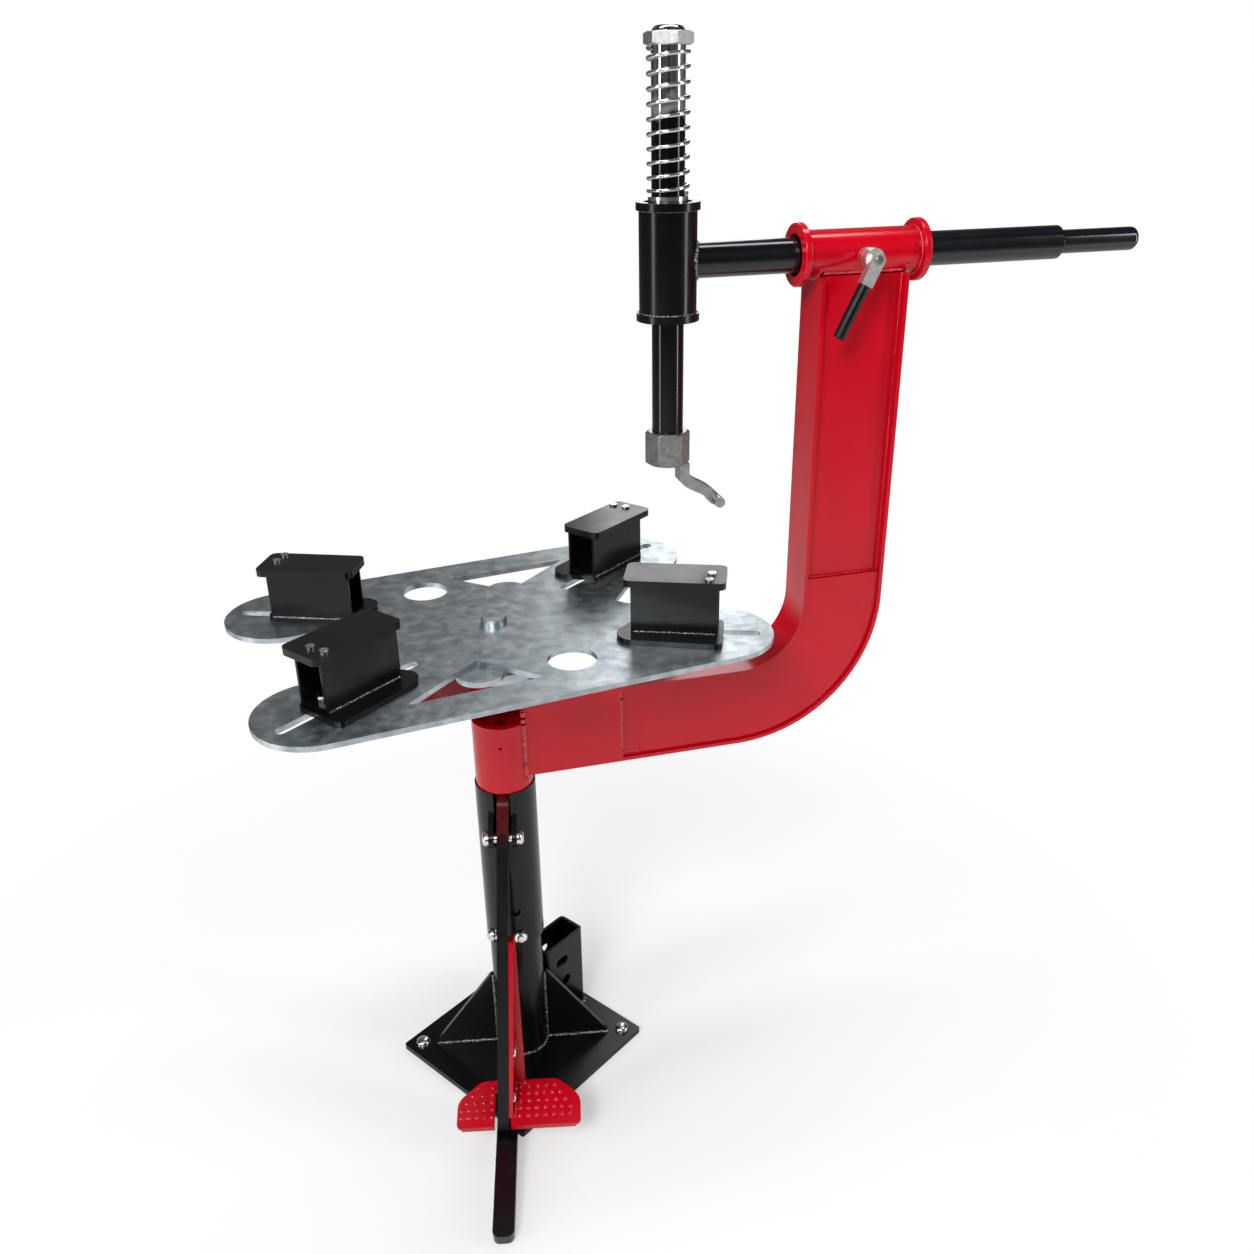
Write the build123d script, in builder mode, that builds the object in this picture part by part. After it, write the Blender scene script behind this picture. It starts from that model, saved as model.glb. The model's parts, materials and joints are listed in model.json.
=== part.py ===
from build123d import *
from math import asin, cos, degrees, radians, sin, tan
import os

os.makedirs("parts", exist_ok=True)

# ---------------------------------------------------------------- dimensions (mm)
GAP = 0.3                  # air between faces that slide past each other
RUN = 0.05                 # radial clearance of a running or slip fit

# base and post
BASE_TURN = -10.5          # the base is turned about the post by this angle
FRONT_TURN = -12.0         # the breaker arm and its pivot are turned by this one
PLATE_SIDE = 230.0
PLATE_THK = 8.0
PLATE_CORNER = 3.0
ANCHOR_R = 137.0
ANCHOR_HOLE_R = 6.5
STUB_R = 33.7
STUB_WALL = 5.0
STUB_TOP = 330.0
POST_R = 37.0
POST_BORE_R = 33.8
POST_BOTTOM = 198.0
POST_TOP = 430.0
GUSSET_THK = 6.0
GUSSET_FOOT = 117.0
GUSSET_TOP = 123.0
GUSSET_LIP = 4.0
SPARE_HOLE_R = 6.5
SPARE_HOLE_SPOT = (4.5, 253.0)     # offset to the side, height
POST_BOLT_R = 5.0
POST_BOLT_HEAD_R = 8.75
POST_BOLT_HEAD_THK = 7.0
POST_BOLT_DOME = 6.0
POST_BOLT_SPOTS = ((8.5, 213.0), (-27.0, 209.0))

# socket for a lever bar
SOCKET_LONG = 72.0
SOCKET_SHORT = 40.0
SOCKET_WALL = 4.0
SOCKET_TOP = 140.0
SOCKET_NEAR = 34.0
SOCKET_CORNER = 6.0
SOCKET_HOLE_R = 7.0
SOCKET_HOLE_Z = 72.0
SOCKET_SLOT = (-7.0, 108.0)        # place along the wide side, height
SOCKET_SLOT_LONG = 22.0
SOCKET_SLOT_TALL = 15.0

# breaker arm on the front of the post
PIVOT_FWD = 50.0
PIVOT_Z = 377.0
PIVOT_PIN_R = 6.0
PIVOT_CLEAR = 0.6          # lets the leaning bar turn on the level pin
PIVOT_HEAD_R = 9.25
PIVOT_HEAD_THK = 8.0
PIVOT_DOME = 6.0
LINK_MID = -3.3            # middle of the link bar at its pivot, measured to the side
LINK_LEAN = 2.3            # the bar leans to the side by this angle
LINK_THK = 14.0
LINK_DEPTH = 25.0
LINK_ABOVE = 53.0
LINK_BELOW = 366.0
LINK_TILT = 69.5
SLOT_WIDTH = 20.0
SLOT_BACK = 18.5
SLOT_BOTTOM = 360.0
EAR_THK = 6.0
EAR_GAP = 1.0
EAR_ROOT_R = 1.0
EAR_NOSE_R = 12.0
EAR_ROOT = 28.0
EAR_HALF_HEIGHT = 27.0
RIB_THK = 5.0
RIB_TOP_ALONG = 125.0      # distance down the link from its pivot
RIB_REAR_FOOT = 137.0      # forward reach of the rear edge at the shoe
RIB_FRONT_FOOT = 182.0
RIB_FOOT_GAP = 0.3         # weld gap under the leaning rib
RIB_FLANGE_THK = 5.0
RIB_FLANGE_TOP = 2.0
RIB_FLANGE_FOOT = 14.0
SHOE_WIDTH = 151.0
SHOE_DEPTH = 60.0
SHOE_THK = 4.0
SHOE_MID = 3.0
SHOE_FWD = 162.5
SHOE_Z = 61.5
SHOE_PITCH = 12.4
SHOE_LIP = 8.0
SHOE_CUT_X = 28.0
SHOE_CUT_Y = 25.0
SHOE_CUT_R = 20.0
SHOE_CORNER = 6.0
SHOE_SLOT = 20.0
SHOE_SLOT_LONG = 46.0
SHOE_SLOT_MID = -16.5
TOE_WIDTH = 25.0
TOE_THK = 14.0
TOE_MID = -13.0
TOE_START = (125.0, 32.0)
TOE_END = (309.0, 9.5)
ARM_BOLT_R = 4.0
ARM_BOLT_HEAD_R = 6.5
ARM_BOLT_HEAD_THK = 3.0
ARM_BOLT_DOME = 2.0
ARM_BOLT_ALONG = (268.0, 326.0)   # distances down the link from its pivot

# sleeve on the post and the C-shaped frame
SLEEVE_R = 35.25
SLEEVE_BORE_R = 30.25
SLEEVE_MOUTH = 519.0
MOUTH_SIDE = 29.0          # the mouth is cut this far to the side and to the rear of the axis
MOUTH_REAR = 13.0
DISC_THK = 6.0
DISC_TOP = 510.0
DISC_HOLE_R = 8.0
VENT_R = 2.0
VENT_Z = 493.0
BEND_X = 292.0
BEND_Z = 626.0
BEND_IN = 78.0
BEND_OUT = 180.0
FLANGE_THK = 4.5
FLANGE_HALF = 27.5
WEB_THK = 3.0
BOX_END = 142.0
BOX_FACE = 27.5            # outer face of the side plates next to the post
CORNER_FACE = 23.5
COLUMN_FACE = 17.5
WEB_SEAM_Z = 657.0
PLATE_ROOT = 5.0           # frame plates start this far out, inside the post sleeve
COLUMN_TOP = 1006.0

# turntable
SUPPORT_TOP = 554.0
SUPPORT_THK = 6.0
SUPPORT_HOLE_R = 16.0
SUPPORT_OUTLINE = ((-70, -40), (60, -40), (60, 60), (40, 80), (-75, 80), (-95, 60), (-95, -15))
HOUSING_R = 33.0
HOUSING_TOP = 584.0
BUSH_R = 23.0
SPINDLE_R = 15.0
SPINDLE_BOTTOM = 550.0
SPINDLE_TOP = 648.0
SPINDLE_CHAMFER = 2.0
HUB_FLANGE_R = 52.0
HUB_FLANGE_Z = 585.0
HUB_FLANGE_THK = 12.0
HUB_R = 28.0
TABLE_TOP = 640.0
TABLE_THK = 6.0
TABLE_TURN = 8.0
LOBE_RAD = 252.0
LOBE_R = 66.0
WAIST = ((480.0, 390.0), (150.0, 0.0), (480.0, -390.0))
TABLE_SLOT = 12.5
TABLE_SLOT_IN = 120.0
TABLE_SLOT_OUT = 303.0
BRACE_THK = 6.0
BRACE_REACH = 108.0
BRACE_R = 26.0
BRACE_ANGLE = 65.0
WINDOW = ((-136.0, -149.0), (11.0, -148.0), (-45.0, -82.0))
WINDOW_CORNER = 6.0
ROUND_HOLE = (50.0, -122.0)
ROUND_HOLE_R = 27.0

# clamping jaws: local angle and the side of the wider base ear
JAWS = {"a": (210.0, 1), "b": (330.0, -1), "c": (30.0, 1), "d": (150.0, -1)}
JAW_BASE_THK = 6.0
JAW_BASE_CORNERS = ((254.0, -12.0), (254.0, 37.0), (170.0, -12.0))   # out along the arm, across it
JAW_BASE_CORNER_R = 8.0
JAW_BASE_NOSE = (165.0, 22.0)
JAW_BASE_NOSE_R = 20.0
JAW_TUBE_WIDTH = 40.0
JAW_TUBE_WALL = 3.0
JAW_TUBE_IN = 160.0
JAW_TUBE_OUT = 256.0
JAW_TUBE_TOP = 700.0
JAW_CAP_THK = 8.0
JAW_CAP_WIDTH = 54.0
JAW_CAP_SHIFT = -4.0
JAW_CAP_OVER = 8.0
JAW_CAP_CORNER = 8.0
JAW_BOLT_AT = 240.0
JAW_BOLT_R = 5.0
JAW_HEAD_R = 8.5
JAW_HEAD_THK = 6.5
JAW_NUT_THK = 10.0
JAW_THREAD_OUT = 3.0        # the bolt stands out of its nut by this much
JAW_KEY = (226.0, 249.0)
JAW_KEY_WIDTH = 12.0
JAW_SCREW_SPOTS = ((248.0, -3.0), (246.0, 15.0))   # out along the arm, across it
JAW_SCREW_R = 2.5
JAW_SCREW_HEAD_R = 4.5

# sliding tool arm in the top sleeve
BAR_Z = 1027.0
BAR_R = 18.25
BAR_BORE_R = 12.9
BAR_END = 666.0
TAIL_R = 12.85
TAIL_START = 616.0
TAIL_END = 768.0
TAIL_ROUND = 6.0
BAR_CHAMFER = 1.0
TOP_SLEEVE = (348.0, 494.0)
TOP_SLEEVE_R = 25.0
TOP_SLEEVE_BORE_R = 22.0
RING_R = 33.0
RING_THK = 8.0
RING_ROUND = 1.5
ARM_BUSH_LONG = 24.0
ARM_BUSH_INSET = 14.0
ROD_X = 207.0
ROD_SLEEVE = (968.0, 1086.0)
ROD_SLEEVE_R = 30.25
ROD_SLEEVE_BORE_R = 25.0
ROD_RING_R = 33.25
ROD_BUSH_LONG = 20.0
ROD_BUSH_INSET = 6.0

# tool rod, spring and mounting head
ROD_R = 17.0
ROD_BOTTOM = 830.0
ROD_TOP = 1245.0
SEAT_R = 20.5
SEAT_TOP = 1091.0
SPRING_R = 20.0
SPRING_WIRE_R = 2.0
SPRING_TURNS = 10.5
NUT_Z = (1227.0, 1239.0)
NUT_TURN = 35.0            # corners of the nut, about the rod
HEX_ACROSS = 50.0
COUPLER_Z = (811.0, 848.0)
COUPLER_TURN = -9.0
HEX_EDGE = 3.0
HEAD_WIDTH = 20.0
HEAD_STEM = (12.0, 23.0)   # the head's arm starts between these, out from the rod
HEAD_BACK = ((23.0, -14.0), (36.0, -24.0), (52.0, -34.0), (60.0, -46.0))   # out, up from the coupler's foot
HEAD_FRONT = ((49.0, -50.0), (43.0, -42.0), (26.0, -32.0), (12.0, -20.0))
HEAD_TOE = (57.0, -54.0)
HEAD_BAR_SPOT = (56.0, -46.0)
HEAD_BAR_LONG = 44.0
HEAD_BAR_R = 6.0

# clamping lever
LEVER_X = 420.0
LEVER_Z = 1025.0
BOSS_R = 9.0
BOSS_FACE = -31.0
BOSS_ROOT = -9.0
LEVER_SCREW_R = 5.0
LEVER_TIP = -19.0
LEVER_HUB_R = 11.0
LEVER_HUB = (-33.0, -46.0)
LEVER_FACE = -56.0
LEVER_LEAN = 26.0
LEVER_ARM_LONG = 28.0
LEVER_ARM_WIDTH = 14.0
GRIP_R = 6.5
GRIP_END = 88.0
GRIP_ROUND = 2.0

# ---------------------------------------------------------------- reference directions
SIDE = Vector(cos(radians(FRONT_TURN)), sin(radians(FRONT_TURN)), 0)
FWD = Vector(sin(radians(FRONT_TURN)), -cos(radians(FRONT_TURN)), 0)
UP = Vector(0, 0, 1)
STANDING = (Align.CENTER, Align.CENTER, Align.MIN)
BASE_SIDE = Vector(cos(radians(BASE_TURN)), sin(radians(BASE_TURN)), 0)
LEAN_OUT = SIDE * cos(radians(LINK_LEAN)) - UP * sin(radians(LINK_LEAN))
LEAN_UP = UP * cos(radians(LINK_LEAN)) + SIDE * sin(radians(LINK_LEAN))


def base_plane(z):
    """Level plane of the base: x to the side, y to the rear."""
    return Plane(origin=(0, 0, z), x_dir=BASE_SIDE, z_dir=UP)


def arm_plane(side):
    """Upright plane of the breaker arm: x forwards, y up, extrusions run against the side."""
    return Plane(origin=SIDE * side, x_dir=FWD, z_dir=-SIDE)


def lean_plane(offset):
    """Plane of the leaning link bar, that far out from its middle: x forwards, y up its face."""
    origin = SIDE * LINK_MID + UP * PIVOT_Z - LEAN_UP * PIVOT_Z + LEAN_OUT * offset
    return Plane(origin=origin, x_dir=FWD, z_dir=-LEAN_OUT)


def table_plane(z, turn=0.0):
    """Level plane of the turntable, optionally turned on to one of its arms."""
    angle = radians(TABLE_TURN + turn)
    return Plane(origin=(0, 0, z), x_dir=(cos(angle), sin(angle), 0), z_dir=(0, 0, 1))


def radial_plane(offset, height, radius=0.0):
    """Plane on the post axis facing out through a spot that far to the side of its front."""
    out = FWD.rotate(Axis.Z, degrees(asin(offset / POST_R)))
    return Plane(origin=UP * height + out * radius, z_dir=out)


def across_plane(x):
    """Upright plane square to the sliding bar at station x, centred on the bar."""
    return Plane(origin=(x, 0, BAR_Z), x_dir=(0, 1, 0), z_dir=(1, 0, 0))


def save(part, name):
    part.label = name
    export_step(part, "parts/" + name + ".step")


# ---------------------------------------------------------------- base
with BuildPart() as base_plate:
    with BuildSketch(base_plane(0)):
        Rectangle(PLATE_SIDE, PLATE_SIDE, rotation=45)
        with PolarLocations(ANCHOR_R, 4):
            Circle(ANCHOR_HOLE_R, mode=Mode.SUBTRACT)
    extrude(amount=PLATE_THK)
    fillet(base_plate.edges().filter_by(Axis.Z).filter_by(GeomType.LINE)
           .filter_by(lambda edge: edge.center().length > ANCHOR_R + 2 * ANCHOR_HOLE_R), PLATE_CORNER)
save(base_plate.part, "base_plate")

with BuildPart() as stub_tube:
    with BuildSketch(base_plane(PLATE_THK)):
        Circle(STUB_R)
        Circle(STUB_R - STUB_WALL, mode=Mode.SUBTRACT)
    extrude(amount=STUB_TOP - PLATE_THK)
    for offset, height in POST_BOLT_SPOTS:
        with Locations(radial_plane(offset, height)):
            Cylinder(POST_BOLT_R + RUN, POST_R + GAP, align=STANDING, mode=Mode.SUBTRACT)
save(stub_tube.part, "stub_tube")

with BuildPart() as gussets:
    for turn in (0, 90, 180):
        out = BASE_SIDE.rotate(Axis.Z, turn)
        plane = Plane(origin=(0, 0, 0), x_dir=out, z_dir=out.cross(UP))
        with BuildSketch(plane):
            with BuildLine():
                Polyline((STUB_R - STUB_WALL, PLATE_THK), (GUSSET_FOOT, PLATE_THK),
                         (GUSSET_FOOT, PLATE_THK + GUSSET_LIP), (STUB_R + GUSSET_LIP, GUSSET_TOP),
                         (STUB_R - STUB_WALL, GUSSET_TOP), close=True)
            make_face()
        extrude(amount=GUSSET_THK / 2, both=True)
    with Locations((0, 0, PLATE_THK)):
        Cylinder(STUB_R, GUSSET_TOP, align=STANDING, mode=Mode.SUBTRACT)
save(gussets.part, "gussets")

socket_dir = BASE_SIDE.rotate(Axis.Z, 45)
socket_mid = SOCKET_NEAR + SOCKET_LONG / 2
with BuildPart() as socket_tube:
    with BuildSketch(Plane(origin=socket_dir * socket_mid + UP * PLATE_THK, x_dir=socket_dir, z_dir=UP)):
        RectangleRounded(SOCKET_LONG, SOCKET_SHORT, SOCKET_CORNER)
        RectangleRounded(SOCKET_LONG - 2 * SOCKET_WALL, SOCKET_SHORT - 2 * SOCKET_WALL,
                         SOCKET_CORNER - SOCKET_WALL, mode=Mode.SUBTRACT)
    extrude(amount=SOCKET_TOP - PLATE_THK)
    with BuildSketch(Plane(origin=socket_dir * socket_mid, x_dir=socket_dir, z_dir=socket_dir.cross(UP))):
        with Locations((0, SOCKET_HOLE_Z)):
            Circle(SOCKET_HOLE_R)
        with Locations(SOCKET_SLOT):
            SlotOverall(SOCKET_SLOT_LONG, SOCKET_SLOT_TALL)
    extrude(amount=SOCKET_SHORT, both=True, mode=Mode.SUBTRACT)
save(socket_tube.part, "socket_tube")

# ---------------------------------------------------------------- post
with BuildPart() as post_tube:
    with BuildSketch(base_plane(POST_BOTTOM)):
        Circle(POST_R)
        Circle(POST_BORE_R, mode=Mode.SUBTRACT)
    extrude(amount=POST_TOP - POST_BOTTOM)
    with BuildSketch(arm_plane(LINK_MID + SLOT_WIDTH / 2)):
        with Locations((SLOT_BACK, SLOT_BOTTOM)):
            Rectangle(POST_R, POST_TOP - SLOT_BOTTOM, align=(Align.MIN, Align.MIN))
    extrude(amount=SLOT_WIDTH, mode=Mode.SUBTRACT)
    with Locations(radial_plane(*SPARE_HOLE_SPOT)):
        Cylinder(SPARE_HOLE_R, POST_R + GAP, align=STANDING, mode=Mode.SUBTRACT)
    for offset, height in POST_BOLT_SPOTS:
        with Locations(radial_plane(offset, height)):
            Cylinder(POST_BOLT_R + RUN, POST_R + GAP, align=STANDING, mode=Mode.SUBTRACT)
save(post_tube.part, "post_tube")

with BuildPart() as post_bolts:
    for offset, height in POST_BOLT_SPOTS:
        with BuildSketch(radial_plane(offset, height, STUB_R)):
            Circle(POST_BOLT_HEAD_R)
        extrude(amount=POST_R - STUB_R + POST_BOLT_HEAD_THK)
        fillet(post_bolts.faces(Select.LAST).sort_by_distance(UP * height)[-1].edges(), POST_BOLT_DOME)
    with Locations((0, 0, POST_BOTTOM)):
        Cylinder(POST_R, POST_R, align=STANDING, mode=Mode.SUBTRACT)
    for offset, height in POST_BOLT_SPOTS:
        with Locations(radial_plane(offset, height, STUB_R - STUB_WALL)):
            Cylinder(POST_BOLT_R, POST_R - STUB_R + 2 * STUB_WALL, align=STANDING)
save(post_bolts.part, "post_bolts")

with BuildPart() as pivot_ears:
    for side in (LINK_MID - SLOT_WIDTH / 2 - EAR_GAP, LINK_MID + SLOT_WIDTH / 2 + EAR_GAP + EAR_THK):
        with BuildSketch(arm_plane(side)):
            with Locations((PIVOT_FWD, PIVOT_Z)):
                Circle(EAR_NOSE_R)
            with Locations((EAR_ROOT, PIVOT_Z + EAR_HALF_HEIGHT), (EAR_ROOT, PIVOT_Z - EAR_HALF_HEIGHT)):
                Circle(EAR_ROOT_R)
            make_hull()
            with Locations((PIVOT_FWD, PIVOT_Z)):
                Circle(PIVOT_PIN_R + RUN, mode=Mode.SUBTRACT)
        extrude(amount=EAR_THK)
    with Locations((0, 0, POST_BOTTOM)):
        Cylinder(POST_R, POST_TOP, align=STANDING, mode=Mode.SUBTRACT)
save(pivot_ears.part, "pivot_ears")

pin_half = SLOT_WIDTH / 2 + EAR_GAP + EAR_THK
with BuildPart() as pivot_pin:
    for side, long, radius in ((pin_half, 2 * pin_half, PIVOT_PIN_R),
                               (pin_half + PIVOT_HEAD_THK, PIVOT_HEAD_THK, PIVOT_HEAD_R),
                               (-pin_half, PIVOT_HEAD_THK, PIVOT_HEAD_R)):
        with BuildSketch(arm_plane(LINK_MID + side)):
            with Locations((PIVOT_FWD, PIVOT_Z)):
                Circle(radius)
        extrude(amount=long)
    fillet(pivot_pin.edges().group_by(Axis(origin=(0, 0, 0), direction=tuple(SIDE)))[0], PIVOT_DOME)
    fillet(pivot_pin.edges().group_by(Axis(origin=(0, 0, 0), direction=tuple(SIDE)))[-1], PIVOT_DOME)
save(pivot_pin.part, "pivot_pin")

# ---------------------------------------------------------------- breaker arm
link_dir = (cos(radians(LINK_TILT)), -sin(radians(LINK_TILT)))


def on_link(along):
    """Point on the middle line of the link bar, measured down from the pivot."""
    return (PIVOT_FWD + link_dir[0] * along, PIVOT_Z + link_dir[1] * along)


with BuildPart() as breaker_link:
    with BuildSketch(lean_plane(LINK_THK / 2)):
        with Locations(on_link((LINK_BELOW - LINK_ABOVE) / 2)):
            SlotOverall(LINK_BELOW + LINK_ABOVE, LINK_DEPTH, rotation=-LINK_TILT)
        with Locations(on_link(0)):
            Circle(PIVOT_PIN_R + PIVOT_CLEAR, mode=Mode.SUBTRACT)
        with Locations(*[on_link(along) for along in ARM_BOLT_ALONG]):
            Circle(ARM_BOLT_R + RUN, mode=Mode.SUBTRACT)
    extrude(amount=LINK_THK)
save(breaker_link.part, "breaker_link")


def shoe_top(fwd):
    """Height of the shoe's upper face that far in front of the post."""
    return SHOE_Z - (fwd - SHOE_FWD) * tan(radians(SHOE_PITCH))


rib_top = on_link(RIB_TOP_ALONG)
rib_across = (-link_dir[1] * LINK_DEPTH / 2, link_dir[0] * LINK_DEPTH / 2)
rib_face = LINK_THK / 2 + RIB_THK
with BuildPart() as breaker_rib:
    with BuildSketch(lean_plane(rib_face)):
        with BuildLine():
            Polyline((rib_top[0] - rib_across[0], rib_top[1] - rib_across[1]),
                     (rib_top[0] + rib_across[0], rib_top[1] + rib_across[1]),
                     (RIB_FRONT_FOOT, shoe_top(RIB_FRONT_FOOT) + RIB_FOOT_GAP),
                     (RIB_REAR_FOOT, shoe_top(RIB_REAR_FOOT) + RIB_FOOT_GAP), close=True)
        make_face()
        with Locations(*[on_link(along) for along in ARM_BOLT_ALONG]):
            Circle(ARM_BOLT_R + RUN, mode=Mode.SUBTRACT)
    extrude(amount=RIB_THK)
    flange_spots = ((rib_top[1], rib_top[0], RIB_FLANGE_TOP),
                    (shoe_top(RIB_REAR_FOOT - RIB_FLANGE_THK), RIB_REAR_FOOT, RIB_FLANGE_FOOT))
    for height, fwd, wide in flange_spots:
        side = LINK_MID + rib_face - (PIVOT_Z - height) * tan(radians(LINK_LEAN))
        with BuildSketch(Plane(origin=SIDE * side + FWD * fwd + UP * height, x_dir=SIDE, z_dir=UP)):
            with Locations((-RIB_THK / 2, 0)):
                Rectangle(wide + RIB_THK / 2, RIB_FLANGE_THK, align=(Align.MIN, Align.MIN))
    loft()
save(breaker_rib.part, "breaker_rib")

shoe_up = FWD * -cos(radians(SHOE_PITCH)) + UP * sin(radians(SHOE_PITCH))
shoe_spot = SIDE * SHOE_MID + FWD * SHOE_FWD + UP * SHOE_Z
shoe_plane = Plane(origin=shoe_spot, x_dir=SIDE, z_dir=SIDE.cross(shoe_up))
half_w = SHOE_WIDTH / 2
half_d = SHOE_DEPTH / 2
with BuildPart() as breaker_shoe:
    with BuildSketch(shoe_plane):
        with BuildLine():
            corners = [(-half_w, -half_d), (half_w, -half_d), (half_w, half_d - SHOE_CUT_Y),
                       (half_w - SHOE_CUT_X, half_d), (SHOE_CUT_X - half_w, half_d),
                       (-half_w, half_d - SHOE_CUT_Y)]
            FilletPolyline(*corners, radius=[SHOE_CORNER] * 2 + [SHOE_CUT_R] * 4, close=True)
        make_face()
    extrude(amount=-SHOE_THK)
    with BuildSketch(shoe_plane.offset(-SHOE_THK)):
        with Locations((0, -half_d)):
            Rectangle(SHOE_WIDTH - 2 * SHOE_CORNER, SHOE_THK, align=(Align.CENTER, Align.MIN))
    extrude(amount=-SHOE_LIP + SHOE_THK)
    with BuildSketch(shoe_plane):
        with Locations((SHOE_SLOT_MID - SHOE_MID, SHOE_SLOT_LONG - half_d)):
            Rectangle(SHOE_SLOT, SHOE_DEPTH, align=(Align.CENTER, Align.MAX))
    extrude(amount=SHOE_LIP, both=True, mode=Mode.SUBTRACT)
save(breaker_shoe.part, "breaker_shoe")

toe_tilt = Vector(TOE_END[0] - TOE_START[0], TOE_END[1] - TOE_START[1], 0).normalized()
toe_rise = Vector(-toe_tilt.Y, toe_tilt.X, 0) * (TOE_THK / 2)
with BuildPart() as breaker_toe:
    with BuildSketch(arm_plane(TOE_MID + TOE_WIDTH / 2)):
        with BuildLine():
            Polyline((TOE_START[0] + toe_rise.X, TOE_START[1] + toe_rise.Y),
                     (TOE_END[0] + toe_rise.X, TOE_END[1] + toe_rise.Y),
                     (TOE_END[0] - toe_rise.X, TOE_END[1] - toe_rise.Y),
                     (TOE_START[0] - toe_rise.X, TOE_START[1] - toe_rise.Y), close=True)
        make_face()
    extrude(amount=TOE_WIDTH)
    fillet(breaker_toe.faces().sort_by(Axis(origin=(0, 0, 0), direction=tuple(FWD)))[-1].edges()
           .filter_by(lambda edge: abs(edge.tangent_at(0.5).dot(SIDE)) < 0.5), TOE_WIDTH / 3)
    with BuildSketch(lean_plane(LINK_THK / 2 + GAP)):
        with Locations(on_link((LINK_BELOW - LINK_ABOVE) / 2)):
            SlotOverall(LINK_BELOW + LINK_ABOVE, LINK_DEPTH, rotation=-LINK_TILT)
    extrude(amount=LINK_THK + 2 * GAP, mode=Mode.SUBTRACT)
save(breaker_toe.part, "breaker_toe")

with BuildPart() as breaker_bolts:
    for along in ARM_BOLT_ALONG:
        with BuildSketch(lean_plane(rib_face)):
            with Locations(on_link(along)):
                Circle(ARM_BOLT_HEAD_R)
        extrude(amount=-ARM_BOLT_HEAD_THK)
        fillet(breaker_bolts.edges().group_by(Axis(origin=(0, 0, 0), direction=tuple(LEAN_OUT)))[-1],
               ARM_BOLT_DOME)
        with BuildSketch(lean_plane(rib_face)):
            with Locations(on_link(along)):
                Circle(ARM_BOLT_R)
        extrude(amount=LINK_THK + RIB_THK)
save(breaker_bolts.part, "breaker_bolts")

# ---------------------------------------------------------------- sleeve and C-frame
with BuildPart() as post_sleeve:
    with BuildSketch(Plane.XY.offset(POST_TOP)):
        Circle(SLEEVE_R)
        Circle(SLEEVE_BORE_R, mode=Mode.SUBTRACT)
    extrude(amount=BEND_Z - BEND_IN - POST_TOP)
    with Locations((MOUTH_SIDE, MOUTH_REAR, SLEEVE_MOUTH)):
        Box(2 * SLEEVE_R, 2 * SLEEVE_R, BEND_Z, align=(Align.MAX, Align.MAX, Align.MIN), mode=Mode.SUBTRACT)
    with Locations(Plane(origin=UP * VENT_Z, z_dir=FWD)):
        Cylinder(VENT_R, POST_R, align=STANDING, mode=Mode.SUBTRACT)
save(post_sleeve.part, "post_sleeve")

with BuildPart() as sleeve_disc:
    with BuildSketch(Plane.XY.offset(DISC_TOP - DISC_THK)):
        Circle(SLEEVE_BORE_R - RUN)
        Circle(DISC_HOLE_R, mode=Mode.SUBTRACT)
    extrude(amount=DISC_THK)
save(sleeve_disc.part, "sleeve_disc")


def on_bend(radius):
    """Middle point of the bend at that radius."""
    return (BEND_X + radius * cos(radians(45)), BEND_Z - radius * sin(radians(45)))


def bend_band(small, large, x_start, z_end, face=0.0):
    """Band between two arcs round the bend, with a leg along the beam and one up the column."""
    with BuildSketch(Plane.XZ.offset(face)) as band:
        with BuildLine():
            Line((x_start, BEND_Z - large), (BEND_X, BEND_Z - large))
            ThreePointArc((BEND_X, BEND_Z - large), on_bend(large), (BEND_X + large, BEND_Z))
            Line((BEND_X + large, BEND_Z), (BEND_X + large, z_end))
            Line((BEND_X + large, z_end), (BEND_X + small, z_end))
            Line((BEND_X + small, z_end), (BEND_X + small, BEND_Z))
            ThreePointArc((BEND_X + small, BEND_Z), on_bend(small), (BEND_X, BEND_Z - small))
            Line((BEND_X, BEND_Z - small), (x_start, BEND_Z - small))
            Line((x_start, BEND_Z - small), (x_start, BEND_Z - large))
        make_face()
    return band.sketch


def clear_tubes():
    """Let a frame plate end on the post sleeve and on the top sleeve."""
    with Locations((0, 0, POST_TOP)):
        Cylinder(SLEEVE_R, BEND_Z, align=STANDING, mode=Mode.SUBTRACT)
    with Locations(across_plane(TOP_SLEEVE[0])):
        Cylinder(TOP_SLEEVE_R, TOP_SLEEVE[1] - TOP_SLEEVE[0], align=STANDING, mode=Mode.SUBTRACT)


with BuildPart() as frame_outer_flange:
    extrude(bend_band(BEND_OUT - FLANGE_THK, BEND_OUT, PLATE_ROOT, COLUMN_TOP, -FLANGE_HALF),
            amount=2 * FLANGE_HALF)
    clear_tubes()
save(frame_outer_flange.part, "frame_outer_flange")

with BuildPart() as frame_inner_flange:
    extrude(bend_band(BEND_IN, BEND_IN + FLANGE_THK, PLATE_ROOT, COLUMN_TOP, -FLANGE_HALF),
            amount=2 * FLANGE_HALF)
    clear_tubes()
save(frame_inner_flange.part, "frame_inner_flange")

web_in = BEND_IN + FLANGE_THK
web_out = BEND_OUT - FLANGE_THK
with BuildPart() as beam_sides:
    for face in (BOX_FACE, WEB_THK - BOX_FACE):
        with BuildSketch(Plane.XZ.offset(face - WEB_THK)):
            with Locations((PLATE_ROOT, BEND_Z - web_in)):
                Rectangle(BOX_END - PLATE_ROOT, web_out - web_in, align=(Align.MIN, Align.MAX))
        extrude(amount=WEB_THK)
    with Locations((0, 0, POST_TOP)):
        Cylinder(SLEEVE_R, BEND_Z, align=STANDING, mode=Mode.SUBTRACT)
save(beam_sides.part, "beam_sides")

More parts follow.
